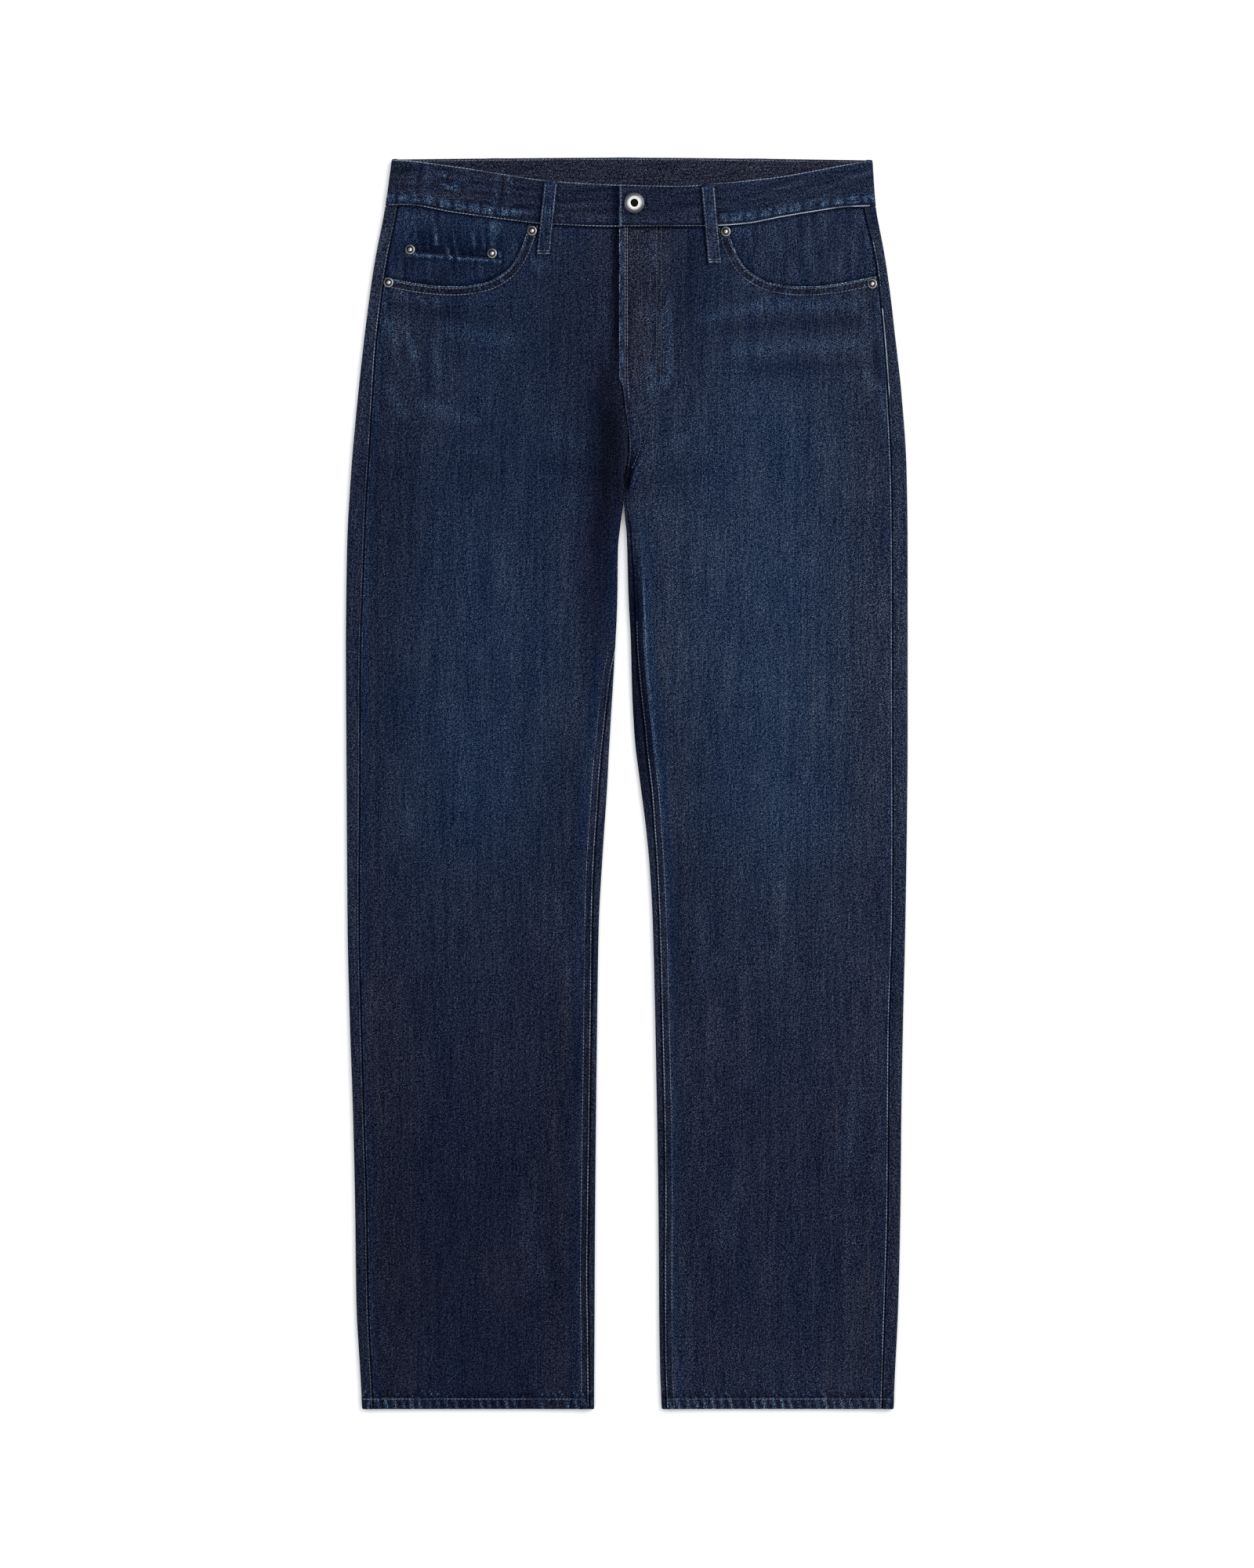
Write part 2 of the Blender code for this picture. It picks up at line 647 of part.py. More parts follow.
# ---------------------------------------------------------------- waistband
BAND_SHARES = (0.0, 0.25, 0.5, 0.75, 1.0)
BAND_RIGHT_X = (-6, -40, -69, -95, -120, -148, -172, -188)
BAND_LEFT_X = (196, 178, 158, 135, 104, 77, 62, 50, 40, 30, 14)
BAND_ROLL = (140, 200)   # |x| over which the front waistband climbs to its side folds


def band_over(x):
    """Outer face of the left front waistband, whose end laps over the right one."""
    return BAND_TOP + (BAND + LAY_GAP) * (1 - smooth(BAND_UNDERLAP, BAND_UNDERLAP + 40, x))


def waistband(parts):
    rows = [[] for _ in BAND_SHARES]
    right_end = CENTRE_FRONT.at("x", 0) + BAND_UNDERLAP

    def add_flat(x, edges, height, normal):
        for row, share in zip(rows, BAND_SHARES):
            down = mix(edges.at("top", x), edges.at("bottom", x), share)
            row.append((x, down, height, 0.0, normal, 0.0))

    def add_fold(side, lengths):
        edge = outer_fold(side, 20)
        for cloth in lengths:
            for row, share in zip(rows, BAND_SHARES):
                down = mix(BAND_BACK.at("top", edge), BAND_BACK.at("bottom", edge), share)
                point = fold_point(outer_fold(side, down), -SIGN[side], BAND_FOLD, cloth,
                                   lambda x: BAND_FOLD, lambda x: 0.0)
                row.append((point[0], down, *point[1:], 0.0))

    turn = quarter(BAND_FOLD)
    for x in (right_end, *BAND_RIGHT_X):
        height = mix(BAND_TOP, BAND_FOLD, smooth(*BAND_ROLL, -x))
        add_flat(x, BAND_FRONT, height, 1.0)
    add_fold("right", spread(turn, -turn, FOLD_STEPS))
    back = loop_columns("right")
    half = LOOP_WIDTH / 2 + 0.6
    back += [CENTRE_BACK + step for step in (-half - RAMP, -half, half, half + RAMP)]
    back += list(reversed(loop_columns("left")))
    for x in back:
        add_flat(x, BAND_BACK, loop_lift(x), -1.0)
    add_fold("left", spread(-turn, turn, FOLD_STEPS))
    for x in (*BAND_LEFT_X, CENTRE_FRONT.at("x", 0)):
        height = mix(band_over(x), BAND_FOLD, smooth(*BAND_ROLL, x))
        add_flat(x, BAND_FRONT, height, 1.0)
    wall("waistband", parts, rows, BAND, INDIGO_WORN)


# ---------------------------------------------------------------- pocket pieces
FACING_ROWS = (0.0, 0.2, 0.4, 0.6, 0.8, 1.0)
FACING_COLUMNS = (0.0, 0.09, 0.2, 0.33, 0.46, 0.58, 0.68, 0.76, 0.83, 0.89, 0.945, 1.0)
COIN_ROWS, COIN_COLUMNS = 4, 8


def facing(side, parts):
    shift = -SCOOP_SHIFT if side == "right" else SCOOP_SHIFT
    inner = SCOOP.rows[0][0] + shift - FACING_UNDER
    rows = []
    for part in FACING_ROWS:
        row = []
        for share in FACING_COLUMNS:
            down = FACING_GUESS
            for _ in range(EDGE_TRIES):
                outer = abs(front_outer_edge(side, down))
                x = mix(outer, inner, share)
                top = BAND_FRONT.at("bottom", SIGN[side] * x) + SEAM_GAP
                low = scoop_down(side, x + FACING_UNDER) + FACING_UNDER
                down = mix(top, low, part)
            x *= SIGN[side]
            row.append((x, down, top_height(side, x, down)))
        rows.append(row if side == "right" else row[::-1])
    sheet("pocket_facing_" + side, parts, rows, WALL, INDIGO_WORN, up=False)


def coin_height(x, down):
    return top_height("right", x, down) + LAY_GAP


def coin_pocket(parts):
    rows = []
    for part in spread(0.0, 1.0, COIN_ROWS):
        row = []
        for share in spread(0.0, 1.0, COIN_COLUMNS):
            x = -mix(COIN_OUTER, COIN_INNER, share)
            top = mix(COIN_TOP_OUTER, COIN_TOP_INNER, share)
            down = mix(top, scoop_down("right", x) + COIN_UNDER, part)
            row.append((x, down, coin_height(x, down)))
        rows.append(row)
    sheet("coin_pocket", parts, rows, WALL, INDIGO_WORN)


def back_pocket(side, parts):
    """A plain patch: straight top, sides drawn in, bottom with a shallow point."""
    middle = (POCKET_OUTER + POCKET_INNER) / 2
    inset = RAMP / 2
    rows = []
    for part in (0.0, 0.5, 1.0):
        row = []
        for across in (-1.0, 0.0, 1.0):
            half = (POCKET_OUTER - POCKET_INNER) / 2 - inset - POCKET_TAPER * part
            x = middle + across * half
            low = POCKET_SIDE + pocket_v(x) - inset
            row.append((x * SIGN[side], mix(POCKET_TOP + inset, low, part), 0.0))
        rows.append(row if side == "left" else row[::-1])
    sheet("back_pocket_" + side, parts, rows, WALL)


# ---------------------------------------------------------------- belt loops
LOOP_STEPS = 12
LOOP_SLACK = 1.1         # how far a loop bows off the waistband
LOOP_FREE = 0.85         # share of its length that is not sewn down


def loop_ground(x, down):
    """Highest face under a front belt loop."""
    side = "right" if x < 0 else "left"
    ground = 0.0
    for step in (-6.0, 0.0, 6.0):
        band_end = BAND_FRONT.at("bottom", x + step)
        if down < band_end + 4.0:
            ground = max(ground, BAND_TOP)
        if down > band_end - 4.0:
            ground = max(ground, front_height(side, x + step, down) + SCOOP_HEM_RISE)
    return ground


def front_loop(loop, parts):
    rows = []
    for share in spread(0.0, 1.0, LOOP_STEPS):
        x = mix(loop["top"][0], loop["end"][0], share)
        down = mix(loop["top"][1], loop["end"][1], share)
        slack = LOOP_SLACK * math.sin(math.pi * min(share / LOOP_FREE, 1.0))
        z = loop_ground(x, down) + LAY_GAP + slack
        rows.append([(x - LOOP_WIDTH / 2, down, z), (x, down, z), (x + LOOP_WIDTH / 2, down, z)])
    sheet(loop["name"], parts, rows, WALL, INDIGO_WORN)


def back_loop(name, x, parts):
    top = BAND_BACK.at("top", x) + 0.5
    end = BAND_BACK.at("bottom", x) + LOOP_PAST_BAND
    rows = []
    for down in spread(top, end, 2):
        rows.append([(x - LOOP_WIDTH / 2, down, 0.0), (x + LOOP_WIDTH / 2, down, 0.0)])
    sheet(name, parts, rows, WALL, INDIGO_WORN)


# ---------------------------------------------------------------- rivets and button
RIVET_FEELERS = 8        # places round the rim where the cloth's height is taken
RIVET_SIDES, BUTTON_SIDES, BUTTON_RING_STEPS = 16, 28, 6


def rivet(name, x, down, seat, parts):
    """A flat-rimmed rivet cap with a low centre nub."""
    side = "right" if x < 0 else "left"
    z = 0.0
    for turn in range(RIVET_FEELERS):
        px = x + RIVET_RADIUS * math.cos(turn * math.tau / RIVET_FEELERS)
        pd = down + RIVET_RADIUS * math.sin(turn * math.tau / RIVET_FEELERS)
        if seat == "coin":
            z = max(z, coin_height(px, pd) + WALL)
        else:
            z = max(z, front_height(side, px, pd) + SCOOP_HEM_RISE)
    r, h = RIVET_RADIUS, RIVET_HEIGHT
    profile = ((0.0, h * 0.9), (r * 0.3, h * 0.8), (r * 0.42, h * 0.5), (r * 0.62, h * 0.62),
               (r * 0.9, h * 0.5), (r, h * 0.25), (r * 0.97, 0.0), (0.0, 0.0))
    turned(name, parts, profile, (x, down, z + LAY_GAP), RIVET_SIDES, NICKEL)


def button(parts):
    """A domed ring round a sunk middle, on a low foot."""
    r, h, hole = BUTTON_RADIUS, BUTTON_HEIGHT, BUTTON_HOLE
    profile = [(0.0, h * 0.45), (hole, h * 0.45)]
    for step in range(BUTTON_RING_STEPS + 1):
        angle = math.pi * (1 - step / BUTTON_RING_STEPS)
        middle, half = (r + hole) / 2, (r - hole) / 2
        profile.append((middle + half * math.cos(angle), h * (0.55 + 0.45 * math.sin(angle))))
    profile += [(r * 0.96, h * 0.3), (r * 0.55, h * 0.22), (r * 0.5, 0.0), (0.0, 0.0)]
    place = (BUTTON_X, BUTTON_DOWN, band_over(BUTTON_X) + LAY_GAP)
    turned("waist_button", parts, profile, place, BUTTON_SIDES, NICKEL)


# ---------------------------------------------------------------- the garment
def main():
    for thing in list(bpy.data.objects):
        bpy.data.objects.remove(thing, do_unlink=True)
    parts = bpy.data.collections.new("straight_leg_jeans")
    bpy.context.scene.collection.children.link(parts)
    for side in ("right", "left"):
        front_panel(side, parts)
        back_panel(side, parts)
        yoke(side, parts)
        facing(side, parts)
        back_pocket(side, parts)
    coin_pocket(parts)
    waistband(parts)
    for loop in FRONT_LOOPS:
        front_loop(loop, parts)
    for number, x in enumerate((-LOOP_BACK_X, CENTRE_BACK, LOOP_BACK_X), start=3):
        back_loop("belt_loop_%d" % number, x, parts)
    for name, x, down, seat in RIVETS:
        rivet(name, x, down, seat, parts)
    button(parts)


main()
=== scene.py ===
"""The looks of the straight leg jeans: denim shells, sewing, rivets, button, light and camera.

Sizes are in millimetres until a mesh is made.  "down" is measured from the top of the back
waistband toward the hems, "x" from the middle of the garment, and right and left are the
wearer's, so the right leg lies at -X.  Every cloth piece is a fine grid of points on its
outer face, a coarser grid on its inner face and the rim between them.
"""

import math

import bpy
import numpy as np
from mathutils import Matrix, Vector
from mathutils.bvhtree import BVHTree

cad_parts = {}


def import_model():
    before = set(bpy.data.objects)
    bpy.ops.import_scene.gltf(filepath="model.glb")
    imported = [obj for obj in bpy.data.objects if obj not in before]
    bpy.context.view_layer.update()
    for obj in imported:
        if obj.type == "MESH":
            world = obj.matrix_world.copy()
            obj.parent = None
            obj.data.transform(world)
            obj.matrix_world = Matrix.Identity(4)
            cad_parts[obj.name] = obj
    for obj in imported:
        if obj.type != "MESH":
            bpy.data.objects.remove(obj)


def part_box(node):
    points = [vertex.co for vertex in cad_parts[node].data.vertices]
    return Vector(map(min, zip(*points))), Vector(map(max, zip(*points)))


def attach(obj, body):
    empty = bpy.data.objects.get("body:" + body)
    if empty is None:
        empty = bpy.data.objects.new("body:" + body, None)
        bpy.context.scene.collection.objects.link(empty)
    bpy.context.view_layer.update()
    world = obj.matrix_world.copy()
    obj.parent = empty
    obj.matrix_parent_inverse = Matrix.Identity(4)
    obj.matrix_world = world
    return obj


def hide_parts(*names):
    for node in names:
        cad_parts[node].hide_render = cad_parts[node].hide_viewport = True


MM = 0.001

# ---- sizes shared with the solids
LENGTH = 1075.0          # waist to hem
WALL = 1.1               # one layer of denim
BAND = 2.2               # waistband: two layers
SEAM_GAP = 0.35          # between pieces that are sewn edge to edge
LAY_GAP = 0.3            # between a piece and what it lies on
CROTCH = 276.0           # down to where the legs part
CROTCH_CLOSE = 16.0      # length over which the centre rolls into two inner folds
CENTRE_BACK = -1.3       # x of the centre back seam
FOLD_ROUND = 1.25        # a fold's half width over its half height
ROLL_FADE = 15.0         # how fast a fold's height dies away inward
BAND_FOLD = 8.0          # height of the waistband's side folds
BAND_TOP = 6.2           # height of the front waistband
HEM_RISE = 0.8           # extra thickness of the turned hem
FLY_UNDERLAP = 8.0       # right front under the fly edge
FLY_END = 188.0          # down to where the lap ends in a seam
BAND_UNDERLAP = 30.0     # right band end under the left one
SCOOP_SHIFT = 1.3        # the left pocket mouth lies this much further out
SCOOP_HEM = 8.0          # turned edge of the pocket mouth
SCOOP_HEM_RISE = 0.5     # and its extra thickness
FACING_UNDER = 8.0       # facing past the pocket mouth, under the front
COIN_OUTER, COIN_INNER = 190.0, 106.5          # coin pocket: its sides from the middle
COIN_TOP_OUTER, COIN_TOP_INNER = 73.7, 80.4    # down to the two ends of its mouth
COIN_UNDER = 5.5                               # how far it runs on under the front
POCKET_OUTER, POCKET_INNER = 188.0, 40.0       # back pocket: its sides from the middle
POCKET_TOP, POCKET_SIDE, POCKET_POINT = 118.0, 250.0, 270.0  # down to its mouth, corners, point
POCKET_TAPER = 8.0       # each side comes in by this much toward the bottom
YOKE_CENTRE = 95.0       # down to the yoke seam at the centre back
YOKE_SIDE = {"right": 60.0, "left": 70.0}  # and at the two side folds
LOOP_WIDTH = 11.3        # belt loops
LOOP_BACK_X = 112.0      # the two outer back loops from the middle
LOOP_PAST_BAND = 8.0     # back loops past the waistband's lower edge
RAMP = 3.0               # length over which cloth climbs onto what it lies on
RIVET_RADIUS, RIVET_HEIGHT = 4.2, 1.7
BUTTON_RADIUS, BUTTON_HEIGHT, BUTTON_HOLE = 8.75, 3.4, 3.0
BUTTON_X, BUTTON_DOWN = 7.0, 39.8
SIGN = {"right": -1.0, "left": 1.0}
FLY_EDGE = -6.0          # x of the edge that laps over
BAND_CUT = 38.5          # depth of the waistband along its cloth
BAND_MIDDLE = 20.0       # down to where its side folds are measured
YOKE_MIDDLE = 60.0       # down to where the yokes' side folds are measured
HIP = 200.0              # down to where a side fold lies well outside the yoke
BACK_LOOPS = {3: -LOOP_BACK_X, 4: CENTRE_BACK, 5: LOOP_BACK_X}

# ---- sizes of the finish
INNER_FACE_STEP = 3      # an inner face has every third point of its outer face
HEM_FINE = 18.0          # the rows of points lie closer below this height above the edge
HEM_DEEP = 9.8           # hem stitches above the edge
ROPING = 7.4             # from one ridge of a twisted hem to the next
FELLED = 8.2             # width of the felled inseam
INSEAM_ROWS = (1.2, 6.6)  # its two rows of stitches, from the seam
SEAM_ROW = 1.1           # the row beside an outseam
EDGE_DROP, EDGE_ROUND = 0.5, 0.8  # a sewn edge rolls down this much, over this width
MOUTH_ROWS = (1.9, 7.4)  # the rows of a pocket mouth, from its edge
MOUTH_END = (128, 136)   # down to where its turned edge has run out under the side
BLOTCH = 12.4            # from one worn patch of the waistband to the next
INSIDE_WASH = 39.0 / 255  # lightness of the inside of the denim, where the pale weft shows
SHARP_CLOTH, SHARP_METAL = 55.0, 50.0  # degrees between faces from which an edge looks sharp
SEAM_STEP, ROW_STEP = 2.5, 3.0  # between the points that set a long row's path
STITCH = 3.0             # from one stitch to the next
THREAD = 0.42            # half the width of the heavy thread
CAMERA_HIGH = 5000.0     # camera above the cloth
CLOTH_FACE = 5.0         # the cloth's face above the floor
VIEW_LONG = 1346.4       # what the long side of the frame covers at the cloth


# ---- curves through sections
def smooth(start, end, value):
    t = np.clip((np.asarray(value, float) - start) / (end - start), 0.0, 1.0)
    return t * t * (3 - 2 * t)


def fade(start, end, value):
    return 1 - smooth(start, end, value)


def between(start, full, less, end, value):
    """0 before the start, 1 from full to less, 0 after the end."""
    return smooth(start, full, value) * fade(less, end, value)


def mix(a, b, t):
    return a + (b - a) * t


def bell(value, middle=0.0, wide=1.0):
    """1 at the middle, a third of it one width away, then nothing."""
    return np.exp(-np.square((value - middle) / wide))


def by_side(side, right, left):
    return right if side == "right" else left


def pairs(x, down):
    """Points from their two parts, either of which may be one number for all."""
    return np.stack(np.broadcast_arrays(x, down), axis=-1)


def steps_of(size, *stops):
    """Values from the first stop to the last, at most size apart, with every stop kept."""
    out = [stops[0]]
    for a, b in zip(stops, stops[1:]):
        count = max(1, math.ceil(abs(b - a) / size))
        out.extend(a + (b - a) * i / count for i in range(1, count + 1))
    return out


def rolled(gap):
    """How far the cloth dips beside a sewn edge; gap is the distance from the edge."""
    return EDGE_DROP * fade(0.0, EDGE_ROUND, gap)


class Rows:
    """Rows of sizes under named columns."""

    def __init__(self, columns, *rows):
        self.columns, self.rows = columns.split(), np.array(rows, float)


class Table(Rows):
    """Sizes along one direction, a row for each section, read as smooth curves."""

    def __init__(self, columns, *rows):
        super().__init__(columns, *rows)
        steps = np.diff(self.rows, axis=0) / np.diff(self.rows[:, :1], axis=0)
        self.slopes = np.zeros_like(self.rows)
        self.slopes[0], self.slopes[-1] = steps[0], steps[-1]
        before, after = steps[:-1], steps[1:]
        turning = before * after <= 0
        total = np.where(turning, 1.0, before + after)
        self.slopes[1:-1] = np.where(turning, 0.0, 2 * before * after / total)

    def at(self, column, key):
        index, keys = self.columns.index(column), self.rows[:, 0]
        n = np.clip(np.searchsorted(keys, key), 1, len(keys) - 1)
        span = keys[n] - keys[n - 1]
        t = np.clip((key - keys[n - 1]) / span, 0.0, 1.0)
        low, high = self.rows[n - 1, index], self.rows[n, index]
        enter, leave = self.slopes[n - 1, index] * span, self.slopes[n, index] * span
        return (low * (1 + 2 * t) * (1 - t) ** 2 + high * t * t * (3 - 2 * t)
                + enter * t * (1 - t) ** 2 - leave * t * t * (1 - t))


# fold: distance of the side fold from the middle; seam: cloth from the fold up to the seam
OUTER = {
    "right": Table(
        "down fold seam",
        (0, 201.2, 12.6), (42, 207, 12.8), (94, 216.8, 12.5), (148, 224.2, 12.6), (202, 230.2, 14.4),
        (269, 236.3, 16.4), (336, 239.9, 16.6), (417, 240.9, 14.6), (540, 240.3, 13.3), (660, 239.5, 12),
        (740, 237.6, 11.8), (821, 234.8, 11.2), (902, 233, 11.8), (983, 231.9, 12), (1050, 228.2, 11.4),
        (1075, 226.9, 11.4)),
    "left": Table(
        "down fold seam",
        (0, 211.5, 12.4), (42, 214.5, 12.4), (75, 220.5, 11), (94, 223.7, 10.5), (124, 227.8, 11.4),
        (148, 230.5, 11.8), (202, 236.5, 13.7), (269, 241, 14.9), (336, 241.9, 14.8), (498, 241.9, 14.6),
        (579, 241.2, 13.6), (660, 239.9, 12.8), (740, 238, 13.4), (821, 236.5, 12.7), (902, 235.7, 12.5),
        (983, 233.9, 12.9), (1050, 230.8, 11.9), (1075, 229.8, 11.6)),
}
# x: inner fold; seam: cloth from the fold to the inseam, negative where it lies underneath
INNER = {
    "right": Table(
        "down x seam",
        (276, -1.6, 0.6), (295, -2.3, -1.6), (309, -4.3, -4), (336, -7.2, -6.6), (377, -7.9, -5.4),
        (417, -9.4, -0.5), (448, -11.1, 4), (498, -14.1, 6.8), (540, -16.3, 8.4), (600, -20.3, 8.3),
        (660, -23.5, 7.1), (740, -24.9, 6.5), (902, -26.6, 7), (953, -26.9, 7.4), (1013, -27.2, 6.4),
        (1075, -27.6, 5.4)),
    "left": Table(
        "down x seam",
        (276, -1.2, 1.2), (295, -1.7, 3.4), (309, -1, 4.6), (323, 0.4, 5.4), (377, 2, 6.8), (417, 4, 6.2),
        (457, 5, 8.4), (498, 7.2, 10.6), (540, 12.3, 10.2), (579, 17.3, 8.2), (619, 20.8, 7.2),
        (660, 22.9, 6.8), (740, 24.9, 6.9), (831, 26.6, 7.3), (902, 27.7, 6.8), (953, 28.1, 6),
        (1000, 28.4, 5.8), (1040, 29.1, 5.6), (1075, 30.6, 5.5)),
}
# the fly edge, and below it the centre front seam
CENTRE_FRONT = Table(
    "down x",
    (0, FLY_EDGE), (FLY_END, FLY_EDGE), (197, -3), (218, -0.7), (238, 2.2), (256, 2.4), (276, -1.4))
BAND_FRONT = Table(
    "x top bottom",
    (-207, 1.7, 42), (-190, 2.6, 41.6), (-148, 7.6, 48), (-104, 14.4, 54), (-69, 19.6, 57.9),
    (-7, 23.4, 60), (42, 24.6, 59.8), (77, 22.2, 59.4), (104, 19.8, 57.4), (135, 16, 51.6), (163, 11, 47),
    (190, 6, 43.4), (213, 2.4, 42.6))
BAND_BACK = Table(
    "x top bottom",
    (-207, 1.7, 42), (-100, 0.6, 40), (0, 0, 39), (100, 0.8, 40), (213, 2.4, 42.6))
# pocket mouth: down against the distance from the middle
SCOOP = Table(
    "x down",
    (85, 58), (87, 66), (92, 80), (99.5, 93.5), (110, 102.3), (123, 108.2), (142, 111.2), (162, 111),
    (182, 108.6), (206, 104), (220, 101))
LAY = Table(
    "down fold middle",
    (0, 6.3, 5), (60, 6.3, 4.9), (120, 6.2, 4.2), (300, 6.1, 4.2), (700, 5.9, 4), (1075, 5.7, 3.8))
# large soft folds of the front, as the solids have them: two ends, half width and height
FOLDS = Rows(
    "x1 down1 x2 down2 half height",
    (-16, 150, -14, 300, 13, -0.9), (-26, 330, -36, 560, 15, -0.8), (-58, 250, -52, 520, 17, 0.7),
    (-150, 300, -132, 640, 26, 0.7), (-185, 420, -170, 760, 16, -0.6), (-95, 760, -150, 930, 18, -0.6),
    (62, 320, 66, 540, 18, -0.7), (120, 230, 118, 560, 30, 0.7), (185, 360, 176, 700, 17, -0.6),
    (96, 780, 150, 960, 19, -0.6))
RIVETS = (
    ("rivet_1", -80.9, 63.4), ("rivet_2", -204, 108), ("rivet_3", 85.5, 64.1),
    ("rivet_4", 211.2, 109), ("rivet_5", -185.6, 79.6), ("rivet_6", -115.2, 82.8))
COIN_RIVETS = RIVETS[4:]
FRONT_LOOPS = (
    {"name": "belt_loop_1", "top": (-64.5, 20.5), "end": (-71.3, 84)},
    {"name": "belt_loop_2", "top": (70, 23.4), "end": (76, 91.5)},
)

# ---- creases and wear
# fine creases of the front, high ones above zero
CREASES = Rows(
    "x1 down1 x2 down2 half height",
    # from the inner corner of the right pocket mouth
    (-83, 82, -75, 98, 1.5, 0.5), (-79, 80, -71, 92, 1.4, 0.35), (-87, 88, -78, 108, 2.4, -0.3),
    # below the right pocket mouth
    (-196, 113, -187, 124, 1.8, 0.35), (-181, 116, -169, 131, 2, 0.4),
    (-169, 117, -160, 129, 1.7, 0.35), (-157, 119, -146, 131, 1.9, 0.28),
    (-141, 118, -133, 128, 1.8, 0.22), (-121, 117, -112, 129, 2.2, 0.22),
    # right hip
    (-205, 140, -196, 160, 3.2, 0.5), (-196, 150, -188, 176, 3, -0.4),
    (-190, 147, -181, 170, 2.8, 0.45), (-203, 172, -193, 196, 3.2, -0.35),
    (-184, 168, -176, 190, 2.8, 0.4), (-176, 178, -168, 204, 3.4, -0.35),
    (-166, 160, -160, 186, 3, 0.3), (-206, 196, -190, 222, 3.6, 0.35),
    (-178, 212, -152, 216, 4.2, 0.3), (-160, 222, -128, 226, 4.6, 0.28),
    (-200, 128, -150, 134, 5.5, -0.3), (-150, 150, -100, 158, 7, 0.3),
    # below the left pocket mouth and on the left hip
    (98, 100, 106, 114, 2, 0.35), (112, 110, 122, 124, 2, 0.3), (127, 116, 135, 127, 1.8, 0.25),
    (150, 117, 158, 129, 2, 0.3), (176, 116, 184, 127, 2, 0.3), (196, 113, 203, 124, 1.8, 0.35),
    (66, 139, 112, 128, 5, 0.35), (112, 128, 196, 128, 5, 0.3), (84, 147, 200, 141, 5.5, -0.3),
    (92, 167, 200, 158, 6, 0.3), (110, 183, 206, 178, 6, -0.25),
    (205, 135, 212, 160, 2.8, 0.4), (213, 160, 218, 190, 3, -0.4), (203, 168, 209, 196, 3, 0.4),
    (216, 196, 222, 224, 3.2, 0.35), (206, 214, 213, 240, 3, -0.3),
    # beside the fly's outer row
    (37.5, 118, 37.5, 184, 2.4, 0.5), (37.5, 184, 34.5, 196, 2.2, 0.45),
    # spread from the crotch
    (-38, 248, -66, 232, 6, 0.15), (-8, 276, -70, 262, 7, -0.3), (-30, 298, -58, 300, 7, 0.2),
    (14, 262, 52, 240, 6, 0.2), (10, 280, 70, 270, 6.5, -0.25), (12, 300, 60, 310, 7, 0.2),
    # legs
    (-112, 330, -104, 372, 8, 0.3), (-196, 520, -186, 580, 8, 0.35),
    (-60, 640, -52, 700, 9, 0.3), (-170, 860, -150, 900, 9, -0.3),
    (-86, 900, -78, 960, 9, 0.3), (60, 640, 68, 700, 9, 0.3), (150, 620, 158, 690, 9, -0.3),
    (196, 800, 190, 860, 8, 0.3), (92, 880, 84, 930, 9, 0.3), (-56, 930, -50, 952, 1.6, 0.35),
    (-210, 1010, -202, 1030, 3, 0.3), (50, 965, 56, 990, 2.4, 0.35), (53, 1020, 58, 1040, 2.2, 0.3))
# worn places of the fronts, and how far they stand up
WORN_PLACES = Rows(
    "x down wide tall worn stands",
    (23.6, 85.8, 7, 8, 0.25, 0.5), (24.9, 135.6, 8, 9, 0.25, 0.45), (20.4, 184, 5, 5.5, 0.5, 0.5),
    (21, 199, 2.8, 3.8, 0.9, 0.4), (31.4, 190.6, 2.4, 3.2, 0.6, 0.2), (31.8, 146, 2, 18, 0.55, 0.1),
    (33, 174, 1.8, 9, 0.45, 0.1), (27, 195, 3.6, 3, 0.7, 0.15), (24, 206, 4.5, 2.6, 0.45, 0.1),
    (12, 216, 6, 2.4, 0.3, 0.1), (6.4, 238, 4, 13, 0.3, 0.15), (-134, 252, 15, 9, 0.22, 0.2),
    (-81, 92, 4, 7, 0.25, 0.1))
# hollows of the back, which lies on them: none stands out past the panel's face
HOLLOWS = Rows(
    "x1 down1 x2 down2 half height",
    (-205, 300, -120, 292, 7, 0.55), (-200, 318, -90, 306, 8, 0.5), (-60, 300, -14, 282, 7, 0.5),
    (-190, 560, -110, 540, 9, 0.5), (-120, 585, -60, 600, 9, 0.5), (-180, 620, -90, 640, 9, 0.45),
    (-160, 700, -150, 860, 14, 0.45), (-80, 420, -70, 520, 12, 0.4), (-190, 930, -160, 1010, 12, 0.45),
    (210, 304, 130, 294, 7, 0.55), (200, 322, 100, 312, 8, 0.5), (64, 300, 16, 284, 7, 0.5),
    (196, 548, 120, 560, 9, 0.5), (130, 600, 70, 590, 9, 0.5), (186, 640, 96, 628, 9, 0.45),
    (150, 720, 160, 850, 14, 0.45), (90, 430, 84, 500, 12, 0.4), (180, 940, 160, 1020, 12, 0.45))
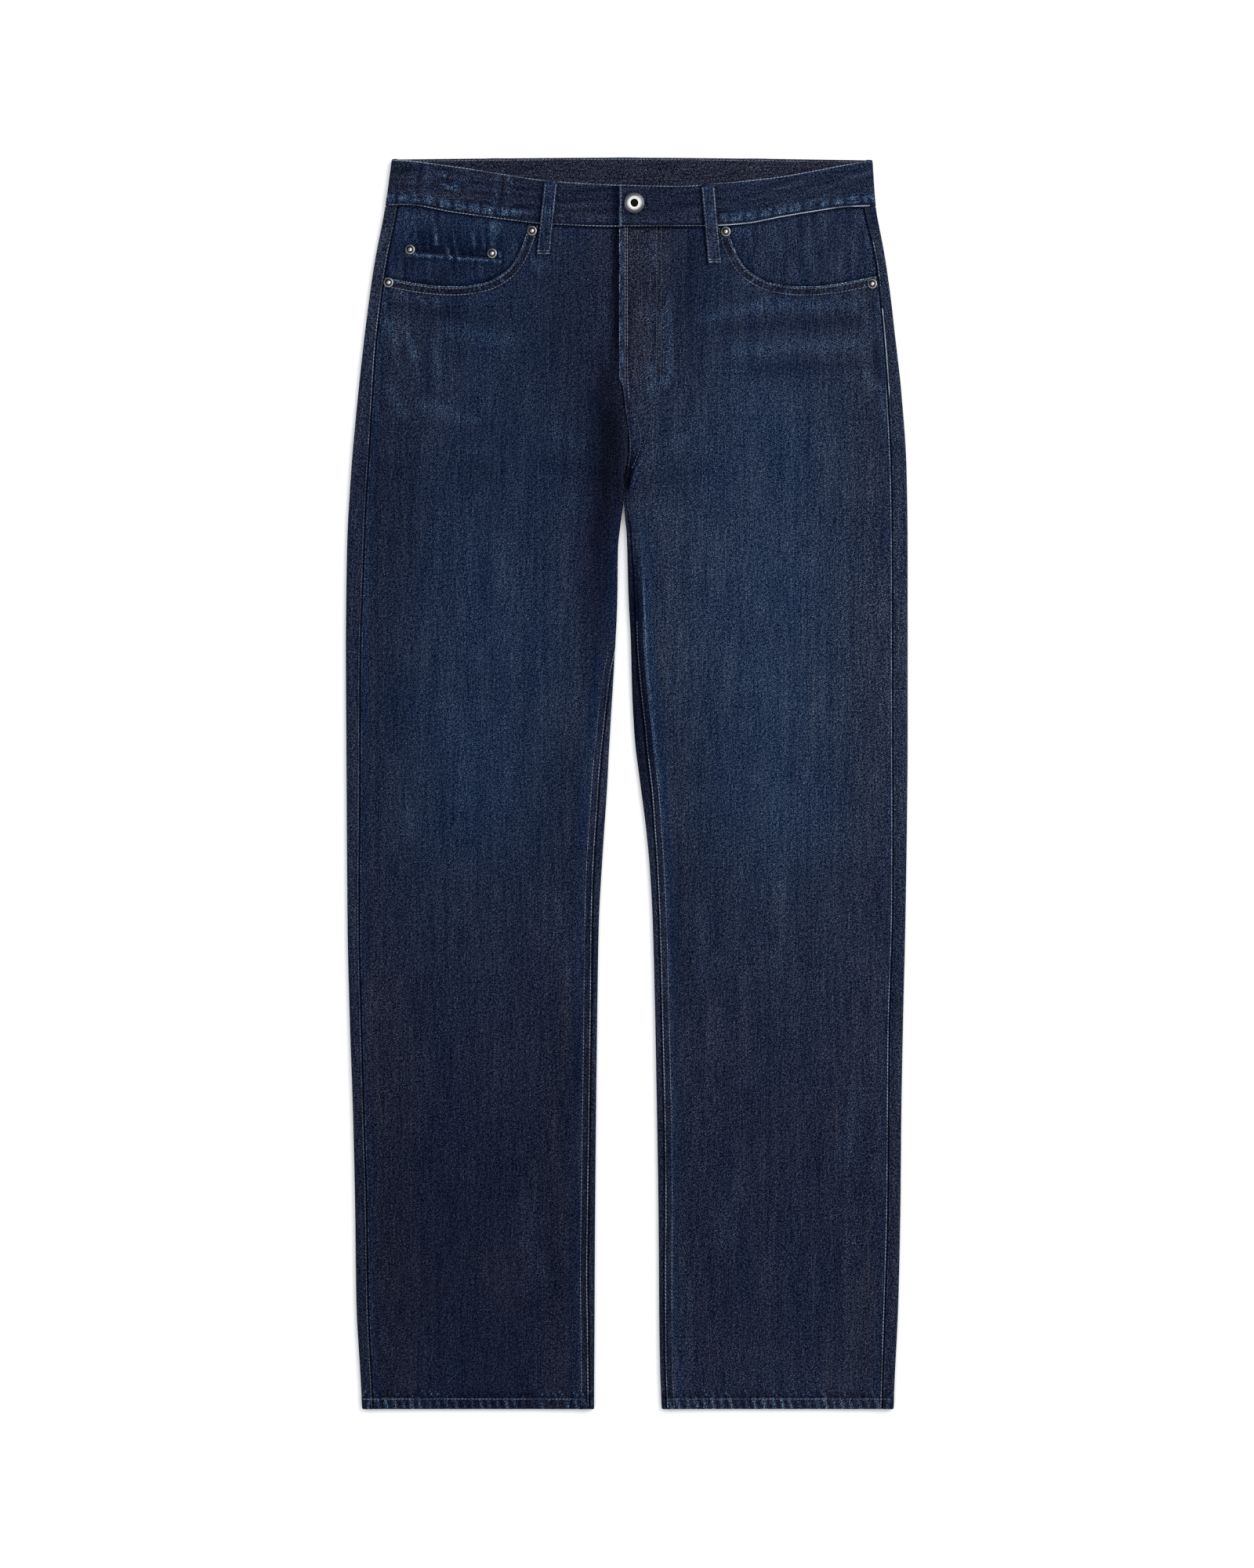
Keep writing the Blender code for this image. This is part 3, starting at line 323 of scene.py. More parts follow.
# lightness of the washed denim out of 255, from the outseam across to the inseam, and how much of its blue
# has gone; the left leg's higher values partly stand for light falling from that side, painted light on top
# of its washing
WASH = {
    "right": Table(
        "down outer middle inner grey",
        (60, 43, 41, 38, 0.35), (121, 43, 39, 36.5, 0.4), (216, 37, 41, 38, 0.35),
        (264, 36, 40, 38, 0.32), (360, 37, 45, 39, 0.28), (455, 37, 48, 41, 0.22),
        (551, 37, 46, 39, 0.24), (599, 37, 42, 37, 0.35), (647, 36, 39, 37, 0.5), (742, 34, 35, 35, 0.65),
        (838, 32, 33, 33, 0.7), (934, 30, 29.5, 32, 0.7), (1075, 32, 31, 33, 0.65)),
    "left": Table(
        "down outer middle inner grey",
        (60, 44, 43, 40, 0.4), (121, 44, 42, 38, 0.4), (169, 45, 46, 42, 0.35), (216, 46, 50, 44, 0.3),
        (312, 47, 52, 47, 0.26), (408, 50, 52, 48, 0.22), (455, 48, 51, 46, 0.22),
        (551, 49, 50, 43, 0.24), (599, 44, 48, 42, 0.35), (647, 42, 44, 40, 0.5), (742, 42, 40, 40, 0.65),
        (838, 40, 37, 38, 0.7), (934, 38, 37, 36, 0.7), (1075, 40, 38, 38, 0.65)),
}
# the same two, lightness and grey, where one washing does for a whole piece
PLAIN_WASH = {"yoke": (39, 0.45), "facing_right": (39, 0.2), "facing_left": (43.5, 0.38),
              "coin_pocket": (35, 0.28), "back_pocket": (40, 0.35), "belt_loop": (43, 0.4)}
# places where the washing left a front lighter or darker than around them
TONES = Rows(
    "x down wide tall share",
    (-222, 130, 10, 70, -0.14), (-202, 160, 12, 70, 0.14), (-158, 195, 28, 38, 0.08),
    (-230, 350, 9, 140, 0.26), (-160, 118, 16, 14, -0.16), (-20, 150, 8, 60, 0.05),
    (-130, 455, 26, 22, -0.12), (-14, 290, 8, 40, 0.15), (-205, 450, 12, 50, -0.05),
    (36, 150, 9, 40, -0.06), (226, 250, 12, 50, -0.08), (160, 222, 20, 14, -0.06),
    (-155, 312, 17, 42, 0.12), (-50, 165, 11, 62, -0.12), (-134, 262, 13, 32, -0.16),
    (-204, 318, 10, 36, -0.13), (-120, 190, 9, 22, 0.1), (-22, 135, 8, 36, 0.12),
    (-50, 435, 23, 62, 0.07), (-190, 540, 11, 24, -0.15), (-78, 280, 17, 42, 0.08),
    (-226, 850, 13, 150, 0.1), (-48, 380, 9, 200, 0.05), (14, 130, 12, 78, 0.04), (61, 80, 13, 20, -0.18),
    (60, 172, 12, 36, -0.14), (148, 176, 22, 15, -0.12), (225, 85, 12, 22, 0.12),
    (140, 210, 24, 20, 0.06), (8, 300, 9, 30, -0.1), (60, 395, 24, 30, 0.09), (132, 630, 14, 60, 0.08),
    (52, 1000, 12, 60, 0.09), (53, 670, 11, 62, -0.13), (206, 570, 12, 90, -0.08),
    (-40, 800, 9, 60, -0.09), (130, 500, 18, 60, 0.05), (82, 965, 12, 60, -0.07), (54.5, 104, 5, 40, -0.2))
# the shaded hollow that runs down the right front from the fly past the crotch
CROTCH_SHADE = Table(
    "down x depth",
    (60, -12, 0.05), (148, -12, 0.14), (202, -17, 0.46), (242, -15, 0.64), (282, -17, 0.62),
    (310, -19, 0.54), (336, -22, 0.42), (404, -26.3, 0.24), (471, -33, 0.08), (500, -34, 0))


# ---- small tools for shapes
def segment_distance(x, down, a, b):
    """Distance from points to a segment, and how far along it each one is nearest."""
    dx, dy = b[0] - a[0], b[1] - a[1]
    t = ((x - a[0]) * dx + (down - a[1]) * dy) / (dx * dx + dy * dy)
    t = np.clip(t, 0.0, 1.0)
    return np.hypot(x - a[0] - t * dx, down - a[1] - t * dy), t * math.hypot(dx, dy)


def path_distance(x, down, path):
    """Distance from points to a line through a path, and the length along it."""
    near, along, walked = np.full(np.shape(x), 1e9), np.zeros(np.shape(x)), 0.0
    for a, b in zip(path, path[1:]):
        gap, part = segment_distance(x, down, a, b)
        along = np.where(gap < near, walked + part, along)
        near = np.minimum(near, gap)
        walked += math.dist(a, b)
    return near, along


def crease_field(table, x, down):
    """Sum of soft ridges and troughs, each fading at its ends."""
    total = np.zeros(np.shape(x))
    for x1, down1, x2, down2, half, height in table.rows:
        gap, _ = segment_distance(x, down, (x1, down1), (x2, down2))
        total = total + height * bell(gap / half)
    return total


def uneven(x, down, pitch, seed):
    """Smooth irregular waves of about one pitch, mostly between -1 and 1."""
    dice = np.random.default_rng(seed)
    total = np.zeros(np.shape(x))
    for _ in range(7):
        turn, phase = dice.uniform(0, math.tau, 2)
        wave = pitch * dice.uniform(0.65, 1.6)
        total = total + np.sin((x * math.cos(turn) + down * math.sin(turn)) * math.tau / wave + phase)
    return total / 3.6


def ridges(along, pitch, seed, uneven_part=0.35):
    """A row of uneven ridges along a line, from 0 in the hollows to 1 on the crests."""
    wander = 0.9 * uneven(along, along * 0.3, pitch * 6, seed)
    wave = 0.5 + 0.5 * np.sin(along * math.tau / pitch + wander)
    return wave * (1 - uneven_part + uneven_part * uneven(along, along, pitch * 3.1, seed + 1))


# ---- where the cloth lies
def parted(down):
    """0 above the crotch, 1 where the legs have their own inner folds."""
    return smooth(CROTCH - CROTCH_CLOSE, CROTCH + 2.0, down)


def outer_fold(side, down):
    return SIGN[side] * OUTER[side].at("fold", down)


def scoop_shift(side):
    return SIGN[side] * SCOOP_SHIFT


def scoop_down(side, x):
    """Height of the pocket mouth's edge at x."""
    return SCOOP.at("down", np.abs(x) - scoop_shift(side))


def scoop_path(side):
    return [(row[0] + scoop_shift(side), row[1]) for row in SCOOP.rows]


def scoop_near(side, x, down):
    return path_distance(np.abs(x), down, scoop_path(side))


def pocket_v(x):
    """How much lower the back pocket's bottom edge is at x than at its sides."""
    middle, half = (POCKET_OUTER + POCKET_INNER) / 2, (POCKET_OUTER - POCKET_INNER) / 2
    return (POCKET_POINT - POCKET_SIDE) * np.maximum(0.0, 1 - np.abs(np.abs(x) - middle) / half)


def top_height(side, x, down):
    """Outer face of the top layer, before laps and pocket edges lift it."""
    fold, middle = LAY.at("fold", down), LAY.at("middle", down)
    half = fold / 2 * FOLD_ROUND
    from_outer = np.maximum(0.0, np.abs(outer_fold(side, down) - x) - half)
    from_inner = np.maximum(0.0, np.abs(x - INNER[side].at("x", down)) - half)
    rise = np.exp(-from_outer / ROLL_FADE)
    rise = np.minimum(1.0, rise + parted(down) * np.exp(-from_inner / ROLL_FADE))
    height = mix(middle, fold, rise) + (1 - rise) * crease_field(FOLDS, x, down)
    over_pocket = between(60, 100, POCKET_POINT, 330, down)
    return height + (WALL + LAY_GAP) * over_pocket * smooth(0, 25, from_outer)


def mouth_lift(side, x, down):
    """Lift of the front where it lies on the facing, and on the coin pocket."""
    near, _ = scoop_near(side, x, down)
    lift = (WALL + LAY_GAP) * fade(FACING_UNDER + 5, 36, near)
    if side == "right":
        beside = smooth(COIN_INNER - 24, COIN_INNER - 8, -x)
        beside = beside * fade(COIN_OUTER + 5, COIN_OUTER + 20, -x)
        lift = lift + (WALL + LAY_GAP) * beside * fade(COIN_UNDER + 8, 36, near)
    return lift


def front_height(side, x, down):
    height = top_height(side, x, down) + mouth_lift(side, x, down)
    if side == "left":
        over = fade(6, 26, x) * fade(FLY_END + 10, 232, down)
        height = height + (WALL + LAY_GAP) * over
    return height


def quarter(height):
    """Length of cloth round a quarter of a fold."""
    return math.pi / 4 * height * math.sqrt((1 + FOLD_ROUND ** 2) / 2)


def fold_point(x_fold, inward, height, cloth, top):
    """Points and face directions at a length of cloth from a fold's tip, up or under."""
    half = height / 2
    reach, turn = half * FOLD_ROUND, quarter(height)
    angle = np.clip(cloth / turn, -1.0, 1.0) * math.pi / 2
    beyond = np.abs(cloth) - turn
    x_flat = x_fold + inward * (reach + beyond)
    round_part = beyond < 0
    x = np.where(round_part, x_fold + inward * reach * (1 - np.cos(angle)), x_flat)
    flat_z = np.where(cloth > 0, top(x_flat), 0.0)
    z = np.where(round_part, half * (1 + np.sin(angle)), flat_z)
    nx, nz = -inward * np.cos(angle) / reach, np.sin(angle) / half
    size = np.hypot(nx, nz)
    flat_nz = np.where(cloth > 0, 1.0, -1.0)
    return np.broadcast_arrays(x, z, np.where(round_part, nx / size, 0.0),
                               np.where(round_part, nz / size, flat_nz))


def blend_points(a, b, t):
    x, z, nx, nz = (mix(p, q, t) for p, q in zip(a, b))
    size = np.maximum(np.hypot(nx, nz), 1e-9)
    return x, z, nx / size, nz / size


# ---- grids of cloth
class Grid:
    """Points on a piece's outer face, the way the face looks, and the cloth's own places.

    bend moves both faces, rise only the outer one; both are along the face's direction. ditch holds painted
    shade: darkening in hollows, along sewn edges and where other parts shade the cloth. worn holds wear,
    and on crests and on edges toward the lamp painted highlight.
    """

    def __init__(self, x, down, z, nx, nz):
        parts = np.broadcast_arrays(*(np.asarray(part, float) for part in (x, down, z, nx, nz)))
        self.x, self.down, self.z, self.nx, self.nz = (np.array(part) for part in parts)
        self.across, self.along = self.x.copy(), self.down.copy()
        self.bend, self.rise = np.zeros_like(self.x), np.zeros_like(self.x)
        self.wash, self.worn, self.ditch, self.grey = (np.zeros_like(self.x) for _ in range(4))

    def tint(self, kind, clouds):
        """One washing all over, with clouds in it."""
        lightness, grey = PLAIN_WASH[kind]
        self.wash = lightness / 255 * (1 + clouds)
        self.grey = np.full_like(self.x, grey)

    def unroll(self, first, last):
        """Cloth places across: x between two columns, lengths of cloth beyond them."""
        step = np.hypot(np.diff(self.x, axis=1), np.diff(self.z, axis=1))
        way = np.sign(self.x[:, last] - self.x[:, first])[:, None]
        self.across = self.x.copy()
        if last + 1 < self.x.shape[1]:
            self.across[:, last + 1:] = self.x[:, last:last + 1] + way * np.cumsum(step[:, last:], axis=1)
        if first > 0:
            before = np.cumsum(step[:, :first][:, ::-1], axis=1)[:, ::-1]
            self.across[:, :first] = self.x[:, first:first + 1] - way * before

    def face(self, lift):
        """Points in metres at a lift from where the outer face lies."""
        return np.stack(((self.x + self.nx * lift) * MM, (LENGTH / 2 - self.down) * MM,
                         (self.z + self.nz * lift) * MM), axis=-1)

    def flat_area(self):
        """Area of the cloth laid out, in square metres."""
        u, v = self.across * MM, self.along * MM
        p, q = (u[1:, 1:] - u[:-1, :-1], v[1:, 1:] - v[:-1, :-1]), (
            u[1:, :-1] - u[:-1, 1:], v[1:, :-1] - v[:-1, 1:])
        return float(np.abs(p[0] * q[1] - p[1] * q[0]).sum() / 2)


def padded_to_step(values):
    """The same list with middles added until its gaps divide by the inner face's step."""
    values = list(values)
    while (len(values) - 1) % INNER_FACE_STEP:
        widest = int(np.argmax(np.abs(np.diff(values))))
        values.insert(widest + 1, (values[widest] + values[widest + 1]) / 2)
    return np.array(values)


def filled(values, *others):
    """One of several lists with middles added near its start until together they fill steps."""
    values = np.array(values, float)
    while (len(values) + sum(len(other) for other in others) - 1) % INNER_FACE_STEP:
        values = np.insert(values, 1, (values[0] + values[1]) / 2)
    return values


def rim_walk(numbers):
    """Point numbers once round the edge of a grid of numbers."""
    return np.concatenate((numbers[0, :-1], numbers[:-1, -1], numbers[-1, :0:-1], numbers[:0:-1, 0]))


def into_scene(name, data):
    thing = bpy.data.objects.new(name, data)
    bpy.context.scene.collection.objects.link(thing)
    return thing


def sew(node, grid, material, thick=WALL, grain_across=False):
    """Makes the closed mesh of one sewn piece, which stands for its solid."""
    name = "denim_" + node
    step = INNER_FACE_STEP
    outer, inner = grid.face(grid.bend + grid.rise), grid.face(grid.bend - thick)[::step, ::step]
    rows, wide = grid.x.shape
    top = np.arange(rows * wide).reshape(rows, wide)
    low = rows * wide + np.arange(inner.shape[0] * inner.shape[1]).reshape(inner.shape[:2])

    def quads(numbers, turned):
        corners = [numbers[:-1, :-1], numbers[:-1, 1:], numbers[1:, 1:], numbers[1:, :-1]]
        if turned:
            corners.reverse()
        return np.stack(corners, axis=-1).reshape(-1, 4).tolist()

    middle = (rows // 2, wide // 2)
    edge_across = outer[middle[0], middle[1] + 1] - outer[middle]
    edge_down = outer[middle[0] + 1, middle[1]] - outer[middle]
    faces_out = np.cross(edge_across, edge_down)
    wrong_way = faces_out[0] * grid.nx[middle] + faces_out[2] * grid.nz[middle] < 0
    faces = quads(top, wrong_way) + quads(low, not wrong_way)
    top_rim, low_rim = rim_walk(top), rim_walk(low)
    for n in range(len(low_rim)):
        strip = [top_rim[(n * step + k) % len(top_rim)] for k in range(step, -1, -1)]
        strip += [low_rim[n], low_rim[(n + 1) % len(low_rim)]]
        faces.append(strip[::-1] if wrong_way else strip)
    mesh = bpy.data.meshes.new(name)
    points = np.concatenate((outer.reshape(-1, 3), inner.reshape(-1, 3)))
    mesh.from_pydata(points.tolist(), [], [[int(i) for i in face] for face in faces])

    def both_faces(values, inside=None):
        lower = values[::step, ::step].ravel()
        return np.concatenate((values.ravel(), lower if inside is None else np.full_like(lower, inside)))

    # marks on both faces: wash, worn (wear and painted highlight), ditch (painted shade) and grey
    for mark, inside in (("wash", INSIDE_WASH), ("worn", 0.0), ("ditch", None), ("grey", 1.0)):
        layer = mesh.attributes.new(mark, "FLOAT", "POINT")
        layer.data.foreach_set("value", both_faces(getattr(grid, mark), inside).astype(np.float32))
    u, v = both_faces(grid.across) * MM, both_faces(grid.along) * MM
    if grain_across:
        u, v = v, u
    corner_points = np.empty(len(mesh.loops), np.int32)
    mesh.loops.foreach_get("vertex_index", corner_points)
    cloth = mesh.uv_layers.new(name="cloth")
    cloth.uv.foreach_set("vector", np.stack((u, v), axis=-1)[corner_points].astype(np.float32).ravel())
    mesh.materials.append(material)
    mesh.shade_smooth()
    mesh.set_sharp_from_angle(angle=math.radians(SHARP_CLOTH))
    piece = into_scene(name, mesh)
    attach(piece, "root")
    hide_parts(node)
    # its flat size
    wide, long = float(np.ptp(grid.across)) * MM, float(np.ptp(grid.along)) * MM
    area = min(grid.flat_area(), wide * long)


# ---- front panels
FRONT_TOP_END = 136.0    # rows of points follow the top edge above this and are level below
INNER_FLAT = 9.0         # cloth left before a front's inner edge where its round part starts


def front_outer_edge(side, down):
    """x of the front's side seam."""
    height, cloth = LAY.at("fold", down), OUTER[side].at("seam", down)
    return outer_fold(side, down) - SIGN[side] * (height / 2 * FOLD_ROUND + cloth - quarter(height))


def front_inner_edge(side, down):
    """x of the front's inner edge above the crotch."""
    edge = CENTRE_FRONT.at("x", down)
    if side == "left":
        return edge
    return edge + mix(FLY_UNDERLAP, -SEAM_GAP, smooth(FLY_END - 18, FLY_END + 4, down))


def front_top(side, x):
    """Down to the front's top edge: the waistband seam or the pocket mouth."""
    return np.maximum(BAND_FRONT.at("bottom", x) + SEAM_GAP, scoop_down(side, x))


def inner_point(side, down, left):
    """Front points at a length of cloth short of its inner edge."""
    open_x = front_inner_edge(side, np.minimum(down, CROTCH)) + SIGN[side] * left
    open_point = (open_x, front_height(side, open_x, down), 0.0, 1.0)
    folded = fold_point(INNER[side].at("x", down), SIGN[side], LAY.at("fold", down),
                        INNER[side].at("seam", down) + left,
                        lambda x: front_height(side, x, down))
    return blend_points(open_point, folded, parted(down))


def front_grid(side):
    """Points of a front, with the distances from its two long edges."""
    share = np.array(steps_of(0.0021, 0.0, 0.0126) + steps_of(0.0043, 0.0126, 0.055)[1:]
                     + steps_of(0.0105, 0.055, 0.4)[1:]
                     + steps_of(0.0055, 0.4, 0.76)[1:] + steps_of(0.0105, 0.76, 1.0)[1:-1])
    left = filled(steps_of(0.62, INNER_FLAT, 0.0), share)
    flat, count = len(share), len(share) + len(left)
    top = np.full(count, 90.0)
    for _ in range(30):
        last = inner_point(side, top[:flat], INNER_FLAT)[0]
        x = np.concatenate((mix(front_outer_edge(side, top[:flat]), last, share),
                            front_inner_edge(side, top[flat:]) + SIGN[side] * left))
        top = mix(top, front_top(side, x), 0.6)
    near_edge = [top + step for step in steps_of(0.5, 0.0, 2.5) + steps_of(1.05, 2.5, 12.6)[1:]]
    start = near_edge[-1]
    upper = [mix(start, FRONT_TOP_END, part) for part in steps_of(0.055, 0.0, 1.0)[1:]]
    low = LENGTH - HEM_FINE
    body = steps_of(2.5, FRONT_TOP_END, low)[1:] + steps_of(1.0, low, LENGTH)[1:]
    body = filled(body, near_edge, upper)
    down = np.array(near_edge + upper + [np.full(count, value) for value in body])
    last = inner_point(side, down[:, :flat], INNER_FLAT)[0]
    x_flat = mix(front_outer_edge(side, down[:, :flat]), last, share)
    x_in, z_in, nx_in, nz_in = inner_point(side, down[:, flat:], left)
    grid = Grid(
        np.concatenate((x_flat, x_in), axis=1), down,
        np.concatenate((front_height(side, x_flat, down[:, :flat]), z_in), axis=1),
        np.concatenate((np.zeros_like(x_flat), nx_in), axis=1),
        np.concatenate((np.ones_like(x_flat), nz_in), axis=1))
    grid.unroll(0, flat)
    grid.from_inner = np.concatenate(
        (INNER_FLAT + np.abs(x_flat - last), np.broadcast_to(left, x_in.shape)), axis=1)
    grid.from_outer = np.abs(grid.across - front_outer_edge(side, down))
    grid.from_top = down - down[:1]
    grid.share = np.concatenate((np.broadcast_to(share, x_flat.shape), np.ones_like(x_in)), axis=1)
    return grid


def hem_relief(grid, seed):
    """The turned hem: thicker, twisted in slanting ridges, with short creases above it."""
    up = LENGTH - grid.down
    outside = np.maximum(grid.nz, 0.0) + 0.6 * np.maximum(-grid.nz, 0.0)
    band = fade(HEM_DEEP - 0.4, HEM_DEEP + 0.9, up)
    rope = ridges(grid.across + 0.25 * up, ROPING, seed, 0.2)
    crease = ridges(grid.across + 0.7 * up, ROPING * 0.8, seed + 5, 0.3)
    above = between(HEM_DEEP, HEM_DEEP + 1.5, HEM_DEEP + 3, HEM_DEEP + 9, up)
    rise = band * (HEM_RISE - 0.42 + 0.42 * rope) * outside
    rise += above * 0.45 * crease * outside
    rise -= 0.25 * bell((up - HEM_DEEP + 1.2) / 0.9) * outside
    rise -= 0.3 * fade(0.0, 1.2, up)
    grid.rise += rise
    grid.worn += band * (0.06 + 0.75 * smooth(0.4, 0.95, rope)) + above * 0.95 * smooth(0.5, 0.95, crease)
    grid.worn += 0.2 * fade(0.0, 2.0, up)
    # painted shade in the hollows between the hem's ridges, in the crease troughs above it and along the
    # hem's upper edge
    grid.ditch += 0.5 * band * fade(0.0, 0.6, rope) + 0.36 * above * (1 - crease)
    grid.ditch += 0.45 * bell((up - HEM_DEEP - 0.6) / 0.8)
    grid.grey += 0.25 * band


def mouth_relief(grid, side):
    """The pocket mouth: a turned edge between two rows of stitches, puckered."""
    near, along = scoop_near(side, grid.x, grid.down)
    pucker = ridges(along + 0.2 * near, 4.7, by_side(side, 41, 43), 0.3)
    above_end = fade(*MOUTH_END, grid.down)
    hem = fade(SCOOP_HEM - 0.9, SCOOP_HEM + 0.7, near) * above_end
    beyond = between(SCOOP_HEM, SCOOP_HEM + 1.5, SCOOP_HEM + 2, SCOOP_HEM + 9, near)
    grid.rise += hem * (SCOOP_HEM_RISE - 0.24 + 0.46 * pucker) + beyond * 0.28 * pucker
    grid.rise -= 0.3 * bell(near, MOUTH_ROWS[1], 0.7) * hem + 0.3 * fade(0.0, 0.9, near) * hem
    grid.rise -= 0.2 * bell(near, 2.3, 0.6) * hem
    grid.worn += 1.9 * fade(0.4, 1.1, near) * (0.85 + 0.2 * uneven(along, near, 9.0, 3))
    grid.worn += hem * 0.62 * smooth(0.5, 0.95, pucker) * smooth(2.0, 3.0, near)
    grid.worn += beyond * 0.34 * smooth(0.5, 1.0, pucker)
    # painted shade in the troughs of the puckers and just past the turned edge
    grid.ditch += hem * smooth(1.1, 1.7, near) * (0.02 + 0.5 * (1 - pucker))
    grid.grey += 0.4 * hem
    grid.ditch += 0.22 * bell((near - SCOOP_HEM - 0.4) / 0.9) * above_end


def outseam_relief(grid, side):
    """A front's edge along the outseam: rolled, with a light worn line beside the seam's hollow, which is
    painted dark as shade.
    """
    gap, seed = grid.from_outer, by_side(side, 61, 67)
    run = uneven(grid.down, gap, 26.0, seed)
    slub = ridges(grid.down + gap, 8.5, seed + 2)
    hip = fade(250, 420, grid.down)
    below_mouth = smooth(100, 112, grid.down)
    line = bell(gap, SEAM_ROW, 0.55)
    grid.rise += below_mouth * (0.22 * line + 0.1 * bell(gap, 4.0, 3.0) * slub)
    grid.rise -= rolled(gap)
    grid.worn += below_mouth * line * (by_side(side, 0.45, 0.35) + 0.25 * run)
    grid.worn += below_mouth * 0.14 * bell(gap, 3.4, 1.6) * (slub + hip * 0.5)
    grid.ditch += 1.0 * fade(0.15, 0.75, gap) + 0.3 * below_mouth * bell(gap, 2.1, 0.6)
    grid.ditch += 0.14 * hip * bell(gap, 8.0, 4.0)
    grid.grey -= 0.3 * below_mouth * bell(gap, 3.0, 5.0)


def inseam_relief(grid, side):
    """The felled inseam: a low band between two rows of stitches, speckled by wear."""
    gap, seed = grid.from_inner, by_side(side, 71, 73)
    leg = smooth(CROTCH + 6, CROTCH + 50, grid.down)
    low = smooth(420, 760, grid.down)
    tick = ridges(grid.down * 0.98 + gap * 0.7, 6.4, seed)
    run = uneven(grid.down, gap, 30.0, seed + 4)
    band = fade(FELLED - 0.9, FELLED + 0.9, gap)
    grid.rise += leg * band * (0.34 + 0.12 * tick)
    for place in INSEAM_ROWS:
        grid.rise -= leg * 0.2 * bell(gap, place, 0.7)
    grid.rise -= leg * rolled(gap)
    ridge = bell((gap - FELLED + 0.2) / 0.9)
    grid.worn += leg * ridge * (0.14 + 0.14 * low + 0.12 * run)
    grid.worn += leg * 0.32 * band * smooth(0.5, 1.0, tick) * bell(gap, 4.2, 1.8)
    # painted shade along the folded edge, in the first row and between the ticks; on the left leg a painted
    # shaded strip beside the seam
    grid.ditch += leg * (0.42 * bell(gap, 2.5, 0.7) + 0.95 * fade(0.15, 0.8, gap))
    grid.ditch += leg * 0.16 * band * (1 - tick) * smooth(3.0, 4.0, gap)
    grid.grey -= 0.45 * leg * bell((gap - FELLED - 3.0) / 6.0)
    if side == "left":
        shaded = between(330, 385, 450, 620, grid.down)
        grid.ditch += 0.7 * shaded * fade(FELLED - 3.0, FELLED, gap)
        grid.worn += 0.9 * shaded * ridge


def fly_relief(grid):
    """The left front's fly: a worn edge strip and two curved rows, puckered."""
    x, down, gap = grid.x, grid.down, grid.from_inner
    upper = fade(FLY_END - 2, FLY_END + 18, down)
    run = uneven(down, gap * 3, 17.0, 81)
    strip = fade(3.8, 4.8, gap) * upper
    grid.rise += 0.2 * strip - 0.35 * fade(0.0, 1.0, gap) * upper
    grid.worn += strip * (0.24 + 0.3 * run) + 0.85 * fade(0.5, 1.1, gap) * upper
    # painted shade in the strip's rows and along the two curved rows
    grid.ditch += upper * (0.36 * bell(gap, 5.9, 0.6) + 0.3 * bell(gap, 8.2, 0.8))
    panel = upper * fade(34.0, 40.0, x) * smooth(4.0, 5.0, gap)
    grid.grey += 0.3 * panel
    grid.worn += panel * 0.14 * smooth(0.2, 0.9, uneven(x * 6.0, down, 20.0, 85))
    for line in (FLY_INNER, FLY_OUTER):
        near, _ = path_distance(x, down, line)
        grid.rise -= 0.26 * bell(near / 0.9)
        grid.ditch += 0.26 * bell(near / 1.1)
    near, along = path_distance(x, down, FLY_INNER)
    pucker = ridges(along + near, 6.0, 83)
    grid.rise += 0.16 * bell(near, 3.2, 2.6) * pucker
    grid.worn += 0.26 * bell(near, 2.2, 1.4) * smooth(0.5, 1.0, pucker)


def crotch_relief(grid, side):
    """The centre front seam below the fly, with its two rows of stitches."""
    lap = between(FLY_END + 2, FLY_END + 16, CROTCH + 2, CROTCH + 14, grid.down)
    gap = grid.from_inner
    grid.rise -= lap * 0.45 * fade(0.0, 0.9, gap)
    # painted shade along the centre seam, and on the left front in the crotch's hollow
    grid.ditch += lap * 0.8 * fade(0.2, 1.0, gap)
    if side == "left":
        band = fade(8.6, 10.4, gap)
        tick = ridges(grid.down - gap * 0.5, 5.4, 89)
        grid.rise += lap * band * (0.28 + 0.14 * tick)
        grid.worn += lap * 0.2 * band * smooth(0.5, 1.0, tick)
        grid.ditch += lap * (0.25 * band * (1 - tick) + 0.3 * bell(gap, 2.6, 0.8))
        near, _ = path_distance(grid.x, grid.down, CROTCH_SECOND[1:] + ((1.2, 284.0),))
        low = between(236, 262, 284, 304, grid.down)
        grid.ditch += low * (0.8 * bell(near / 1.7) + 0.5 * bell(gap / 5.0))
        grid.worn += low * 0.35 * bell(near, 3.6, 1.3) * (gap > 5.0)


def under_fly_relief(grid):
    """The right front beside the fly edge, in its shade, and the hollow below."""
    down = grid.down
    upper = fade(FLY_END - 40, FLY_END + 6, down)
    beside = FLY_EDGE - grid.x
    grid.ditch += upper * 0.95 * fade(2.5, 8.0, beside)
    here = bell((grid.x - CROTCH_SHADE.at("x", down)) / 15.0)
    shade = np.maximum(CROTCH_SHADE.at("depth", down), 0.0) * here
    grid.wash *= 1 - shade
    grid.grey += 0.38 * shade


def wash_of(side, share, down):
    """How light the denim is across a leg, from the outseam (0) to the inseam (1)."""
    table = WASH[side]
    outer, middle, inner = (table.at(name, down) for name in ("outer", "middle", "inner"))
    toward_outer, toward_inner = fade(0.0, 0.45, share), smooth(0.5, 1.0, share)
    return (middle + (outer - middle) * toward_outer + (inner - middle) * toward_inner) / 255


